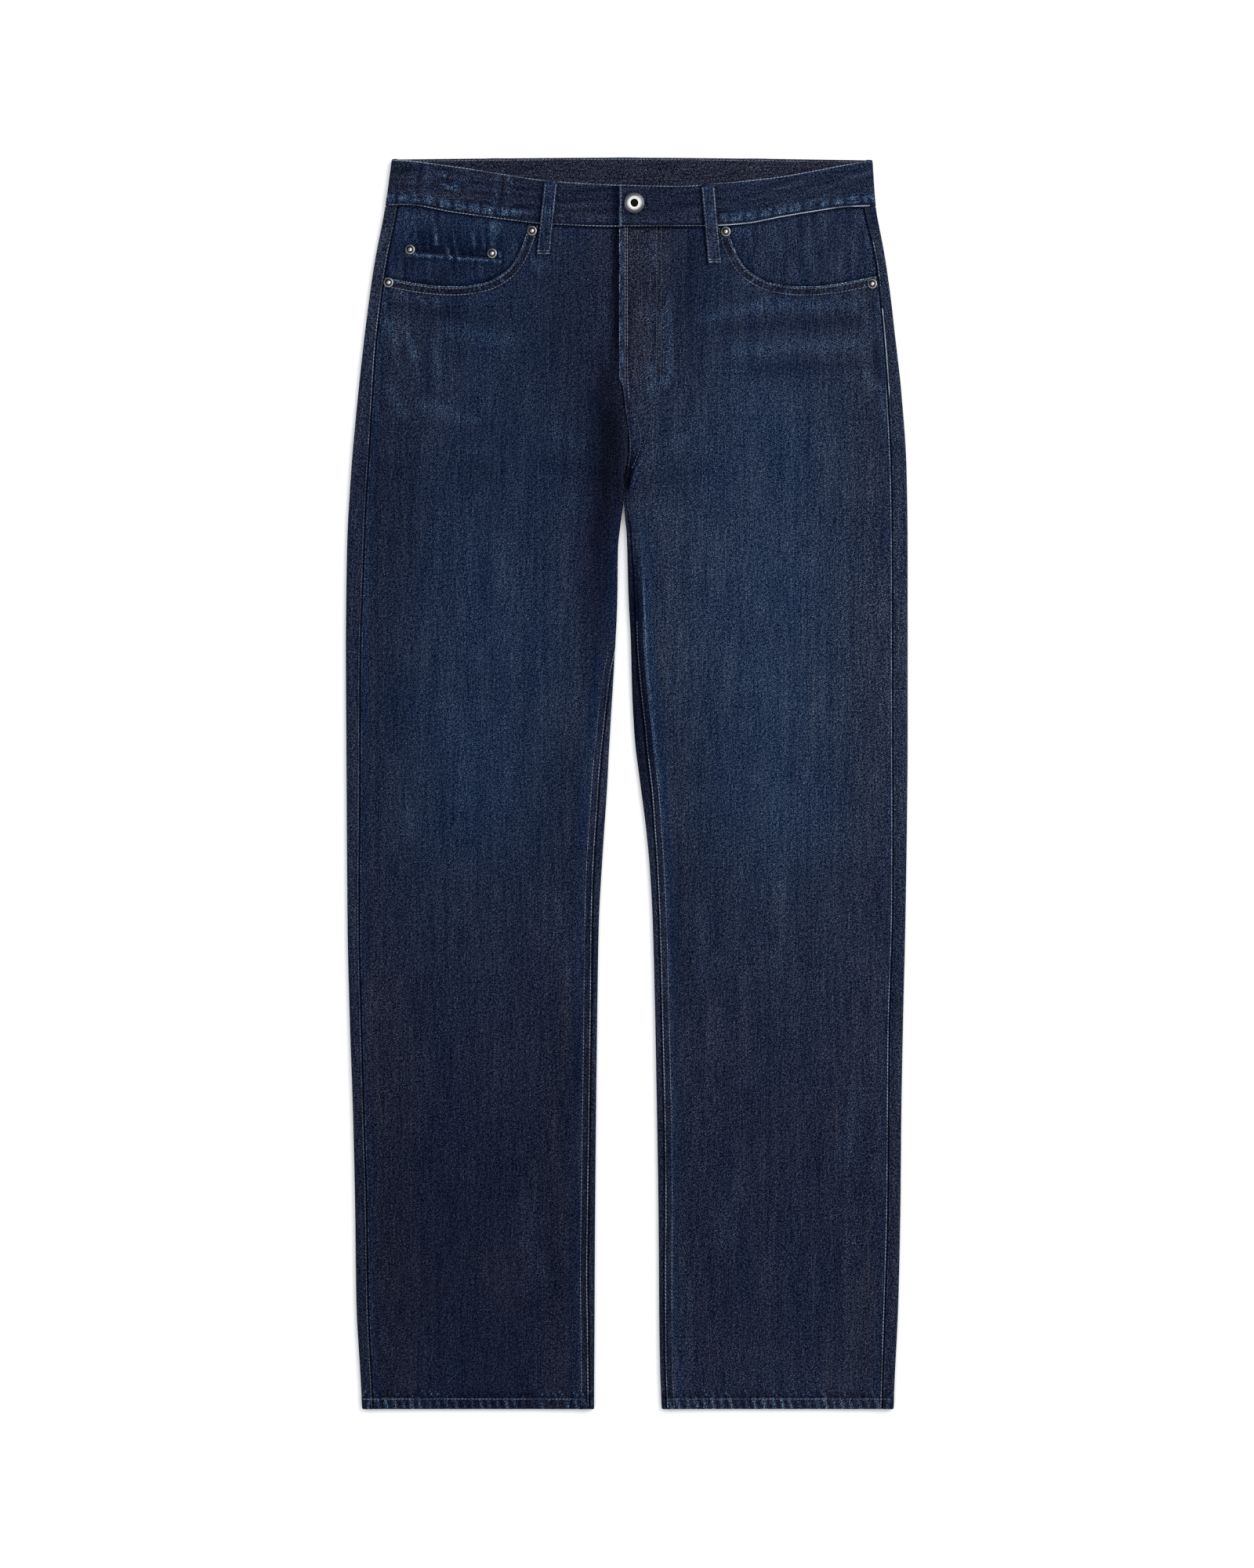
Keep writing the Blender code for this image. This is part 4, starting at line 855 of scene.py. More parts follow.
def soft_relief(grid, seed):
    """Listed creases and the slight unevenness of washed cloth."""
    creases = crease_field(CREASES, grid.x, grid.down) * smooth(0.0, 4.0, LENGTH - 20 - grid.down)
    flat = smooth(0.4, 0.95, np.abs(grid.nz))
    waves = 0.16 * uneven(grid.across * 1.6, grid.down * 0.8, 46.0, seed)
    waves += 0.07 * uneven(grid.across * 1.3, grid.down, 15.0, seed + 1)
    grid.bend += (creases + waves) * flat
    # the creases' crests get wear and painted highlight, their troughs painted shade
    marked = flat * (0.42 + 0.34 * fade(220, 300, grid.down))
    grid.worn += marked * np.maximum(creases, 0.0)
    grid.ditch += marked * np.maximum(-creases, 0.0)
    for x, down, half_wide, half_tall, worn, stands in WORN_PLACES.rows:
        place = bell(np.hypot((grid.x - x) / half_wide, (grid.down - down) / half_tall))
        grid.bend += stands * place
        grid.worn += worn * place * (0.75 + 0.45 * uneven(grid.x, grid.down, 6.0, seed + 2))


def front_panel(side, material):
    grid = front_grid(side)
    grid.wash = wash_of(side, grid.share, grid.down)
    grid.wash *= 1 + 0.05 * uneven(grid.across * 2.6, grid.down * 0.5, 60.0, by_side(side, 31, 33))
    for x, down, wide, tall, share in TONES.rows:
        grid.wash *= 1 + share * bell(grid.x, x, wide) * bell(grid.down, down, tall)
    edge_grey = 0.42 - by_side(side, 0.12, 0.24) * smooth(560, 680, grid.down)
    if side == "left":
        edge_grey += 0.32 * (grid.share < 0.5) * bell(grid.down, 440, 150)
    grid.grey = WASH[side].at("grey", grid.down) - 0.1 + edge_grey * np.square(2 * grid.share - 1)
    soft_relief(grid, by_side(side, 11, 17))
    near, _ = scoop_near(side, grid.x, grid.down)
    grid.bend = np.where(near < 24.0, np.maximum(grid.bend, mix(-0.05, -0.6, smooth(12, 24, near))),
                         grid.bend)
    mouth_relief(grid, side)
    outseam_relief(grid, side)
    inseam_relief(grid, side)
    crotch_relief(grid, side)
    if side == "right":
        under_fly_relief(grid)
    else:
        fly_relief(grid)
    shade_beside_loops(grid)
    hem_relief(grid, by_side(side, 21, 23))
    # painted shadow of the waistband along the front's top edge, away from the pocket mouth
    grid.ditch += 0.7 * fade(0.4, 2.2, grid.from_top) * (near > 3)
    sew("front_" + side, grid, material)


# ---- back panels and yokes
def side_lengths(side, down, share):
    """Cloth lengths from the outseam (share 0) round the fold to the underside (1)."""
    turn = quarter(LAY.at("fold", down))
    return mix(OUTER[side].at("seam", down) - SEAM_GAP, -turn, share)


def side_points(side, down, share):
    """Points round the outer fold, from the outseam (share 0) to the underside (1)."""
    return fold_point(outer_fold(side, down), -SIGN[side], LAY.at("fold", down),
                      side_lengths(side, down, share), lambda x: top_height(side, x, down))


def from_outseam(side, down, share):
    """Cloth lengths from the outseam, where the first columns have a share of the fold."""
    share = np.concatenate((share, np.ones(down.shape[1] - len(share))))
    return share * (side_lengths(side, down, 0.0) - side_lengths(side, down, 1.0))


def yoke_seam(side, x):
    across = np.minimum(np.abs(x - CENTRE_BACK) / (OUTER[side].at("fold", YOKE_MIDDLE) - 5.0), 1.0)
    return mix(YOKE_CENTRE, YOKE_SIDE[side], across)


def pocket_lift(x, down):
    """Lift of the back panel over its patch pocket."""
    inside = smooth(POCKET_INNER - RAMP, POCKET_INNER, np.abs(x))
    inside = inside * fade(POCKET_OUTER, POCKET_OUTER + RAMP, np.abs(x))
    inside = inside * smooth(POCKET_TOP - RAMP, POCKET_TOP, down)
    low = POCKET_SIDE + pocket_v(x)
    return (WALL + LAY_GAP) * inside * fade(low, low + RAMP, down)


def inner_back_points(side, down, step):
    """Points round the inner fold to the inseam, or to the centre back above the crotch."""
    turn = quarter(LAY.at("fold", down))
    centre = CENTRE_BACK + SIGN[side] * SEAM_GAP / 2
    flat = (centre + SIGN[side] * 8.0 * (1 - step), 0.0, 0.0, -1.0)
    cloth = mix(-turn - 3.0, INNER[side].at("seam", down) - SEAM_GAP, step)
    folded = fold_point(INNER[side].at("x", down), SIGN[side], LAY.at("fold", down), cloth,
                        lambda x: top_height(side, x, down))
    return blend_points(flat, folded, parted(down))


def back_grid(side):
    fold_share = np.array(steps_of(0.028, 0.0, 0.17) + steps_of(0.05, 0.17, 1.0)[1:])
    under_share = np.array(steps_of(0.0115, 0.0, 1.0))[1:-1]
    inner_step = np.array(steps_of(0.075, 0.0, 1.0))
    fold_share = filled(fold_share, under_share, inner_step)
    a, b = len(fold_share), len(fold_share) + len(under_share)
    count = b + len(inner_step)

    def row_points(down):
        """x, z and face direction of whole rows, down given for each point."""
        fold = side_points(side, down[:, :a], fold_share)
        inner = inner_back_points(side, down[:, b:], inner_step)
        under = down[:, a:b]
        edge = side_points(side, under, 1.0)[0]
        x = mix(edge, inner_back_points(side, under, 0.0)[0], under_share)
        flat = (x, np.zeros_like(x), np.zeros_like(x), -np.ones_like(x))
        return [np.concatenate([np.broadcast_to(part, down[:, cut].shape)
                                for part, cut in zip(parts, (slice(0, a), slice(a, b), slice(b, count)))],
                               axis=1)
                for parts in zip(fold, flat, inner)]

    top = np.full((1, count), 80.0)
    side_x = outer_fold(side, HIP)
    for _ in range(6):
        x = row_points(top)[0]
        x[:, :a], x[:, b:] = side_x, 0.0
        top = yoke_seam(side, x) + SEAM_GAP
    even, low = 290.0, LENGTH - HEM_FINE  # rows are level below the first, finer below the second
    upper = [mix(top[0], even, part) for part in steps_of(0.0125, 0.0, 1.0)]
    body = steps_of(5.0, even, low)[1:] + steps_of(1.3, low, LENGTH)[1:]
    down = np.array(upper + [np.full(count, value) for value in filled(body, upper)])
    x, z, nx, nz = row_points(down)
    grid = Grid(x, down, z, nx, nz)
    grid.unroll(a, b)
    grid.from_seam = from_outseam(side, down, fold_share)
    grid.from_inseam = np.abs(grid.across - grid.across[:, -1:])
    grid.share = np.clip(np.abs(x - outer_fold(side, down)) / 230.0, 0.0, 1.0)
    return grid


def back_panel(side, material):
    grid = back_grid(side)
    seed = by_side(side, 101, 107)
    under = smooth(-0.7, -0.97, grid.nz)
    lift = pocket_lift(grid.x, grid.down) * under
    grid.bend -= lift
    edges = smooth(0, 8, grid.from_seam) * smooth(4, 14, grid.from_inseam)
    hollow = crease_field(HOLLOWS, grid.x, grid.down) + 0.12 + 0.12 * uneven(grid.x, grid.down, 40.0, seed)
    grid.bend -= np.maximum(hollow, 0.0) * under * edges * fade(0.1, 0.6, lift)
    grid.worn += 0.25 * edges * under * bell(lift, 0.5, 0.4)
    run = uneven(grid.down, grid.from_seam, 24.0, seed + 1)
    tick = ridges(grid.down + grid.from_seam, 7.0, seed + 2)
    # painted shade along both sewn edges and beside the outseam's row; on the left leg a painted shaded
    # strip by the crotch
    for gap in (grid.from_seam, grid.from_inseam):
        grid.rise += 0.12 * bell(gap, 3.4, 2.2) * (0.7 + 0.5 * tick)
        grid.rise -= rolled(gap)
        grid.ditch += 0.9 * fade(0.15, 0.75, gap)
    line = bell(grid.from_seam, SEAM_ROW, 0.55)
    grid.rise += 0.16 * line
    grid.worn += line * (by_side(side, 0.12, 0.32) + 0.14 * run)
    grid.ditch += 0.3 * bell(grid.from_seam, 2.1, 0.6)
    grid.worn += 0.12 * bell(grid.nz / 0.5) * (0.6 + 0.5 * run) * smooth(0, 3, grid.from_seam)
    shut = between(258, 268, 288, 300, grid.down)
    grid.rise += 0.5 * shut * fade(0.3, 0.9, np.abs(grid.nz)) * (np.abs(grid.x) < 30)
    if side == "left":
        shaded = between(270, 385, 450, 640, grid.down)
        grid.ditch += 0.8 * shaded * (grid.x < 40) * smooth(-0.9, -0.6, grid.nz)
    hem_relief(grid, by_side(side, 121, 123))
    grid.wash = wash_of(side, grid.share, grid.down) * mix(1.0, 0.95, under)
    grid.wash *= 1 + 0.05 * uneven(grid.across * 2.6, grid.down * 0.5, 60.0, seed + 6)
    grid.wash *= 1 + 0.1 * (side == "right") * smooth(0.0, 0.7, grid.nz)
    grid.grey = np.maximum(WASH[side].at("grey", grid.down), mix(0.6, 0.35, under))
    sew("back_" + side, grid, material)


def loop_lift(x):
    """Lift of the waistband and yokes over the back belt loops."""
    half = LOOP_WIDTH / 2 + 0.6
    lift = np.zeros(np.shape(x))
    for middle in BACK_LOOPS.values():
        lift = np.maximum(lift, fade(half, half + RAMP, np.abs(x - middle)))
    return (WALL + LAY_GAP) * lift


def yoke(side, material):
    fold_share = np.array(steps_of(0.05, 0.0, 1.0))
    centre = CENTRE_BACK + SIGN[side] * SEAM_GAP / 2
    part = padded_to_step(steps_of(0.045, 0.0, 1.0))
    under_share = np.array(steps_of(0.0115, 0.0, 1.0))[1:]
    fold_share = filled(fold_share, under_share)
    a, count = len(fold_share), len(fold_share) + len(under_share)
    side_x = outer_fold(side, HIP)
    start = outer_fold(side, YOKE_MIDDLE) - SIGN[side] * 6.0
    x = np.concatenate((np.full(a, side_x), mix(start, centre, under_share)))
    down = mix(BAND_BACK.at("bottom", x) + SEAM_GAP, yoke_seam(side, x), part[:, None])
    fold = side_points(side, down[:, :a], fold_share)
    edge = side_points(side, down[:, a:], 1.0)[0]
    x_under = mix(edge, centre, under_share)
    zero = np.zeros_like(x_under)
    parts = [np.concatenate((p, q), axis=1) for p, q in zip(fold, (x_under, zero, zero, zero - 1.0))]
    grid = Grid(parts[0], down, *parts[1:])
    grid.unroll(a, count - 1)
    from_band = down - down[:1]
    from_seam = from_outseam(side, down, fold_share)
    lift = loop_lift(grid.x) * fade(LOOP_PAST_BAND + 1, LOOP_PAST_BAND + 1 + RAMP, from_band)
    grid.bend -= np.where(grid.nz < -0.9, lift, 0.0)
    low = down[-1:] - down
    grid.rise -= 0.4 * fade(0.0, 1.0, low) * np.abs(grid.nz)
    grid.rise -= rolled(from_seam)
    grid.worn += 0.35 * bell(low, 1.2, 0.9)
    # painted shade along its lower edge and its outseam
    grid.ditch += 0.35 * fade(0.2, 1.0, low) + 0.9 * fade(0.15, 0.75, from_seam)
    grid.tint("yoke", 0.08 * uneven(grid.x, down, 30.0, 131))
    sew("yoke_" + side, grid, material)


# ---- waistband
# where the right band is sewn across: x and down at both ends, and how deep
BAND_JOINS = Rows(
    "x1 down1 x2 down2 half height",
    (-175, 5.0, -181, 41.0, 1.3, -0.45), (-105, 16.5, -109, 54.0, 1.3, -0.45))


def band_over(x):
    """Outer face of the left front waistband, whose end laps over the right one."""
    return BAND_TOP + (BAND + LAY_GAP) * fade(BAND_UNDERLAP, BAND_UNDERLAP + 40, x)


def band_grid():
    """The waistband once round: right front, right fold, back, left fold, left front."""
    share = padded_to_step(steps_of(0.018, 0.0, 0.072) + steps_of(0.035, 0.072, 0.928)[1:]
                           + steps_of(0.018, 0.928, 1.0)[1:])[:, None]
    turn = quarter(BAND_FOLD)
    turns = np.array(steps_of(0.9, turn, -turn))
    reach = BAND_FOLD / 2 * FOLD_ROUND + 0.4
    right, left = (OUTER[side].at("fold", BAND_MIDDLE) - reach for side in ("right", "left"))
    right_x = np.array(steps_of(1.9, FLY_EDGE + BAND_UNDERLAP, -right))
    left_x = np.array(steps_of(1.9, left, FLY_EDGE + 3.0) + steps_of(0.6, FLY_EDGE + 3.0, FLY_EDGE)[1:])
    back_x = steps_of(3.2, -right, left)
    back_x = filled(back_x, right_x, left_x, turns, turns)

    def flat(x, edges, height, way):
        down = mix(edges.at("top", x), edges.at("bottom", x), share)
        x = np.broadcast_to(x, down.shape)
        return x, down, np.broadcast_to(height, down.shape), np.zeros(down.shape), np.full(down.shape, way)

    def folded(side, lengths):
        edge = outer_fold(side, BAND_MIDDLE)
        down = mix(BAND_BACK.at("top", edge), BAND_BACK.at("bottom", edge), share)
        down = np.broadcast_to(down, (len(share), len(lengths)))
        x, z, nx, nz = fold_point(outer_fold(side, down), -SIGN[side], BAND_FOLD, lengths,
                                  lambda x: BAND_FOLD)
        return x, down, z, nx, nz

    right_height = mix(BAND_TOP, BAND_FOLD, smooth(140, 200, -right_x))
    left_height = mix(band_over(left_x), BAND_FOLD, smooth(140, 200, left_x))
    parts = (flat(right_x, BAND_FRONT, right_height, 1.0), folded("right", turns),
             flat(back_x, BAND_BACK, loop_lift(back_x), -1.0), folded("left", turns[::-1]),
             flat(left_x, BAND_FRONT, left_height, 1.0))
    grid = Grid(*(np.concatenate(columns, axis=1) for columns in zip(*parts)))
    step = np.hypot(np.diff(grid.x, axis=1), np.diff(grid.z, axis=1)).mean(axis=0)
    grid.across = np.broadcast_to(np.concatenate(([0.0], np.cumsum(step))), grid.x.shape).copy()
    grid.along = np.broadcast_to(share * BAND_CUT, grid.x.shape).copy()
    grid.share = np.broadcast_to(share, grid.x.shape)
    return grid


def waistband(material):
    grid = band_grid()
    x, share = grid.x, grid.share
    front = smooth(-0.1, 0.5, grid.nz)
    from_top, from_low = share * BAND_CUT, (1 - share) * BAND_CUT
    past_middle = grid.across > grid.across.max() / 2
    # puckers over the lower edge, stronger toward the sides
    place = grid.across / BLOTCH + 0.16 * uneven(grid.across, from_low * 0.2, 55.0, 151)
    block = fade(0.28, 0.48, np.abs(place % 1.0 - 0.5))
    toward_side = np.maximum(smooth(80, 130, np.abs(x)), 0.3)
    joins = crease_field(BAND_JOINS, x, grid.down) * front
    grid.rise += bell(from_low, 7.0, 5.0) * toward_side * 0.42 * block * front
    grid.rise += 0.16 * uneven(grid.across, share * 30, 34.0, 153) * smooth(0, 8, from_low) * front
    swell = bell(np.abs(x + 142), 32, 5.0) * bell(share, 0.5, 0.4) * fade(-70, -60, x)
    grid.rise += joins + 0.35 * front * swell
    for gap in (from_top, from_low):
        grid.rise -= 0.4 * fade(0.0, 1.0, gap)
    end_gap = np.where((x < 30) & past_middle & (grid.nz > 0.5), x - FLY_EDGE, 99.0)
    grid.rise -= 0.5 * fade(0.0, 1.3, end_gap)
    # wear: blotches above the lower seam, the top edge, the lapped end, beside the joins; painted shade
    # between the blotches, in the joins and along the lower seam
    speckle = 0.65 + 0.7 * uneven(grid.across, from_low, 4.0, 157)
    blotch = block * smooth(2.4, 4.2, from_low) * fade(8.0, 12.5, from_low) * speckle
    right_front = front * smooth(-76, -100, x)
    left_front = front * smooth(76, 92, x)
    grid.worn += blotch * (0.22 * front + 0.82 * right_front + 0.68 * left_front)
    grid.ditch += 0.4 * front * toward_side * (1 - block) * bell(from_low, 5.5, 4.5)
    grid.worn += right_front * bell(x, -147, 16.0) * bell(from_low, 25, 10.0) * 0.85 * smooth(
        -0.2, 0.8, uneven(grid.across, from_low * 1.6, 13.0, 159))
    beside = from_joins(x, grid.down)
    grid.worn += right_front * 0.46 * (bell(beside, 5.5, 3.0) + bell(beside, -5.0, 2.6)) * (
        0.6 + 0.6 * uneven(grid.across, from_low, 8.0, 161))
    grid.worn += 0.35 * fade(0.3, 1.4, from_top) * (0.3 + 0.7 * front)
    grid.worn += 0.6 * fade(0.6, 1.6, end_gap) + 0.4 * bell(end_gap / 5.0) * bell(from_low, 6, 3.5)
    grid.ditch += -1.2 * joins + 0.45 * fade(0.1, 0.8, from_low)
    grid.ditch += 0.4 * front * bell(from_low, 2.4, 0.8)
    # painted shadow that the lapped left end casts on the right band
    grid.ditch += 0.75 * front * ~past_middle * bell(x, -8.5, 3.0)
    shade_beside_loops(grid)
    lightness = mix(38.0, 36.0 + 5.0 * left_front - 1.0 * right_front, front)
    grid.wash = lightness / 255 * (1 + 0.15 * uneven(grid.across * 0.3, share * 70, 12.0, 163))
    grid.grey = 0.45 + front * (0.22 - 0.22 * left_front)
    sew("waistband", grid, material, BAND,
        grain_across=True)


def from_joins(x, down):
    """Signed distance from the nearer join of the right waistband."""
    a, b = (x - (x1 + (x2 - x1) * (down - down1) / (down2 - down1))
            for x1, down1, x2, down2, _, _ in BAND_JOINS.rows)
    return np.where(np.abs(a) < np.abs(b), a, b)


# ---- pocket pieces
def facing(side, material):
    """The cloth seen inside a curved pocket mouth."""
    inner = SCOOP.rows[0][0] + scoop_shift(side) - FACING_UNDER
    part = padded_to_step(steps_of(0.026, 0.0, 1.0))[:, None]
    share = padded_to_step(steps_of(0.014, 0.0, 1.0))[None, :]
    down = np.full((part.size, share.size), 80.0)
    for _ in range(14):
        x = mix(np.abs(front_outer_edge(side, down)), inner, share)
        top = BAND_FRONT.at("bottom", SIGN[side] * x) + SEAM_GAP
        low = scoop_down(side, x + FACING_UNDER) + FACING_UNDER
        down = mix(top, low, part)
    x = x * SIGN[side]
    grid = Grid(x, down, top_height(side, x, down), 0.0, 1.0)
    seed = by_side(side, 171, 173)
    grid.bend += 0.1 * uneven(grid.x * 1.4, down * 0.7, 22.0, seed)
    from_outer = np.abs(grid.x - front_outer_edge(side, down))
    from_band = down - top
    near, _ = scoop_near(side, grid.x, down)
    grid.rise -= rolled(from_outer)
    # painted shade along the outseam, under the pocket mouth's edge and under the waistband; on the right
    # also in the pucker troughs above the coin pocket
    grid.ditch += 0.9 * fade(0.15, 0.9, from_outer) + 0.6 * fade(0.5, 4.0, near)
    grid.ditch += 0.6 * fade(0.4, 2.4, from_band)
    spots = smooth(0.35, 0.9, ridges(grid.x + 0.1 * down, 7.4, seed + 5, 0.35))
    grid.worn += 0.16 * bell(from_outer, 2.4, 1.2) + 0.3 * spots * bell(from_band, 6.5, 4.0)
    grid.tint("facing_" + side, 0.16 * uneven(grid.x * 2.2, down * 0.5, 20.0, seed + 1))
    if side == "right":
        coin = coin_frame(grid.x, down)
        above = bell(coin["above"], 6.0, 9.0) * coin["within"]
        pucker = ridges(-grid.x + 0.15 * down, 8.2, 177)
        grid.rise += 0.26 * above * pucker
        for _, mark, _ in COIN_RIVETS:
            streak = bell((grid.x - mark - 1.5) / 4.5) * smooth(-4, 6, coin["above"]) * (
                fade(14, 30, coin["above"]))
            grid.worn += streak * (0.42 + 0.5 * uneven(grid.x * 2, down, 7.0, 179))
            grid.rise += 0.3 * streak
        grid.worn += 0.75 * above * smooth(0.45, 0.95, pucker)
        grid.worn += 0.3 * bell(grid.x, -112, 7.0) * bell(from_band, 4, 6.0)
        grid.ditch += 0.52 * above * (1 - pucker)
    sew("pocket_facing_" + side, grid, material)


def coin_frame(x, down):
    """Where points lie against the coin pocket's mouth."""
    share = (x + COIN_OUTER) / (COIN_OUTER - COIN_INNER)
    mouth = mix(COIN_TOP_OUTER, COIN_TOP_INNER, share)
    within = between(-0.05, 0.03, 0.97, 1.05, share)
    return {"above": mouth - down, "within": within}


def coin_pocket(material):
    part = padded_to_step(steps_of(0.03, 0.0, 1.0))[:, None]
    share = padded_to_step(steps_of(0.014, 0.0, 1.0))[None, :]
    x = -mix(COIN_OUTER, COIN_INNER, share)
    mouth = mix(COIN_TOP_OUTER, COIN_TOP_INNER, share)
    down = mix(mouth, scoop_down("right", x) + COIN_UNDER, part)
    x = np.broadcast_to(x, down.shape)
    grid = Grid(x, down, top_height("right", x, down) + LAY_GAP + WALL, 0.0, 1.0)
    below = down - mouth
    sides = np.minimum(x + COIN_OUTER, -COIN_INNER - x)
    pucker = ridges(-x + 0.15 * below, 7.6, 181)
    band = fade(7.4, 9.0, below)
    near, _ = scoop_near("right", x, down)
    grid.rise += band * (0.28 + 0.4 * pucker) - 0.4 * fade(0.0, 1.1, below)
    grid.rise -= 0.4 * fade(0.0, 1.1, sides) + 0.35 * bell(below, 7.0, 0.9)
    grid.rise += 0.3 * bell(below, 9.2, 1.6) * (0.6 + 0.4 * pucker)
    ridge = bell(below, 9.6, 2.1)
    grid.worn += ridge * np.maximum(0.85 + 0.9 * uneven(x * 1.5, below, 9.0, 183), 0.0)
    grid.worn += band * 0.8 * smooth(0.5, 1.0, pucker) * smooth(0.5, 2.5, below)
    # painted shade in the pucker troughs, in lines under the hem, at the mouth edge and at the sides
    grid.ditch += 0.58 * band * (1 - pucker) + 0.42 * bell(below, 12.0, 1.8)
    grid.ditch += bell(below, 6.7, 0.9) * (0.5 + 0.4 * ridges(-x, 2.6, 187))
    grid.ditch += 0.6 * fade(0.5, 5.0, near) + 0.25 * fade(0.2, 1.0, sides)
    grid.tint("coin_pocket", 0.2 * uneven(x * 2.2, down * 0.5, 18.0, 185))
    sew("coin_pocket", grid, material)


def back_pocket(side, material):
    """A plain patch: straight top, sides drawn in, bottom with a shallow point."""
    middle, inset = (POCKET_OUTER + POCKET_INNER) / 2, RAMP / 2
    part = padded_to_step(steps_of(0.02, 0.0, 1.0))[:, None]
    across = padded_to_step(steps_of(0.04, -1.0, 0.0, 1.0))[None, :]
    half = (POCKET_OUTER - POCKET_INNER) / 2 - inset - POCKET_TAPER * part
    x = (middle + across * half) * SIGN[side]
    down = mix(POCKET_TOP + inset, POCKET_SIDE + pocket_v(x) - inset, part)
    grid = Grid(x, down, 0.0, 0.0, -1.0)
    edge = np.minimum((1 - np.abs(across)) * half, (1 - part) * (POCKET_SIDE - POCKET_TOP))
    hem = fade(13.0, 15.0, down - POCKET_TOP)
    pucker = ridges(grid.x + down, 7.0, 191)
    grid.rise -= 0.45 * fade(0.0, 1.2, edge) + 0.2 * bell(edge, 1.9, 0.8) * (1 - hem)
    grid.bend -= 0.1 + 0.1 * uneven(grid.x, down, 36.0, 193)
    grid.rise -= 0.16 * hem * (1 - pucker)
    grid.worn += 0.4 * fade(0.4, 2.0, edge) + 0.2 * bell(edge, 4, 2.5) * pucker
    grid.worn += 0.25 * fade(0.4, 2.0, down - POCKET_TOP - inset)
    grid.tint("back_pocket", 0.08 * uneven(grid.x * 2, down * 0.6, 40.0, 195))
    sew("back_pocket_" + side, grid, material)


# ---- belt loops
def loop_ground(x, down):
    """Highest face under a front belt loop."""
    ground = np.zeros(np.shape(x))
    for step in (-6.0, 0.0, 6.0):
        band_end = BAND_FRONT.at("bottom", x + step)
        ground = np.where(down < band_end + 4.0, np.maximum(ground, BAND_TOP), ground)
        for side, here in (("right", x < 0), ("left", x >= 0)):
            panel = front_height(side, x + step, down) + SCOOP_HEM_RISE
            ground = np.where((down > band_end - 4.0) & here, np.maximum(ground, panel), ground)
    return ground


def shade_beside_loops(grid):
    """The cloth beside a front loop and below its foot lies in the loop's shade."""
    for loop in FRONT_LOOPS:
        (x1, down1), (x2, down2) = loop["top"], loop["end"]
        middle = x1 + (x2 - x1) * (grid.down - down1) / (down2 - down1)
        beside, half = grid.x - middle, LOOP_WIDTH / 2
        within = between(down1 - 2.0, down1 + 2.0, down2 - 0.5, down2 + 1.5, grid.down)
        shade = 1.1 * bell((beside + half - 0.2) / 1.9) + 0.6 * bell((beside - half + 0.6) / 1.3)
        grid.ditch += within * np.maximum(grid.nz, 0.0) * shade


def loop_across():
    return padded_to_step(steps_of(0.75, -LOOP_WIDTH / 2, 0.0, LOOP_WIDTH / 2))[None, :]


def finish_loop(grid, along, across, seed):
    """Rolled sides and two stitched troughs."""
    side_gap = LOOP_WIDTH / 2 - np.abs(across)
    run = uneven(along, across, 12.0, seed)
    tick = ridges(along, 5.2, seed + 1)
    grid.rise -= 0.5 * fade(0.0, 1.0, side_gap) + 0.22 * bell(side_gap, 1.7, 0.7)
    grid.rise += 0.18 * bell(across / 1.8) + 0.1 * bell(side_gap, 3.2, 1.4) * tick
    # the edge toward the lamp, on the right, gets more painted highlight than the other; painted shade lies
    # in the stitched troughs
    lit_side = np.where(across > 0, 0.42, 0.16)
    grid.worn += lit_side * fade(0.5, 1.5, side_gap) * (0.8 + 0.3 * run)
    grid.worn += 0.16 * bell(side_gap, 3.4, 1.2) * (0.5 + 0.6 * tick)
    grid.ditch += 0.22 * bell(side_gap, 2.1, 0.7) + 0.1 * bell(across / 1.2)
    grid.tint("belt_loop", 0.1 * run)


def front_loop(loop, material):
    share = padded_to_step(steps_of(0.018, 0.0, 1.0))[:, None]
    across = loop_across()
    middle = mix(loop["top"][0], loop["end"][0], share)
    down = mix(loop["top"][1], loop["end"][1], share)
    slack = 1.1 * np.sin(math.pi * np.minimum(share / 0.85, 1.0))
    height = loop_ground(middle, down) + LAY_GAP + slack + WALL
    # the climb from the front onto the waistband is eased over a few millimetres
    pad = np.pad(height[:, 0], 2, mode="edge")
    height = (sum(pad[k:k + len(height)] for k in range(5)) / 5)[:, None]
    grid = Grid(middle + across, down, height, 0.0, 1.0)
    long = math.dist(loop["top"], loop["end"])
    along, left = share * long, (1 - share) * long
    finish_loop(grid, along, across, 201 if middle[0, 0] < 0 else 205)
    grid.rise += 0.45 * bell(along, 4.4, 1.6) - 0.2 * bell(along, 7.0, 1.0)
    grid.rise -= 0.35 * fade(0.0, 1.2, left) + 0.25 * bell(left, 3.0, 1.2)
    grid.worn += 0.35 * bell(along, 4.2, 1.3) + (
        0.3 * bell(along, 27.0, 6.0) * fade(1.0, 4.5, np.abs(across)))
    # the tack at the foot, with painted shade beside it
    foot = np.abs(left - 2.2)
    grid.worn += 0.55 * bell(foot, 1.2, 0.5)
    grid.ditch += 0.4 * bell(foot, 2.4, 0.6) + 0.3 * bell(foot / 0.7)
    sew(loop["name"], grid, material)


def back_loop(number, x, material):
    top = float(BAND_BACK.at("top", x)) + 0.5
    end = float(BAND_BACK.at("bottom", x)) + LOOP_PAST_BAND
    down = padded_to_step(steps_of(1.4, top, end))[:, None]
    across = loop_across()
    grid = Grid(x + across, down, 0.0, 0.0, -1.0)
    finish_loop(grid, down, across, 211 + number)
    grid.rise = np.minimum(grid.rise, 0.0)
    sew("belt_loop_%d" % number, grid, material)


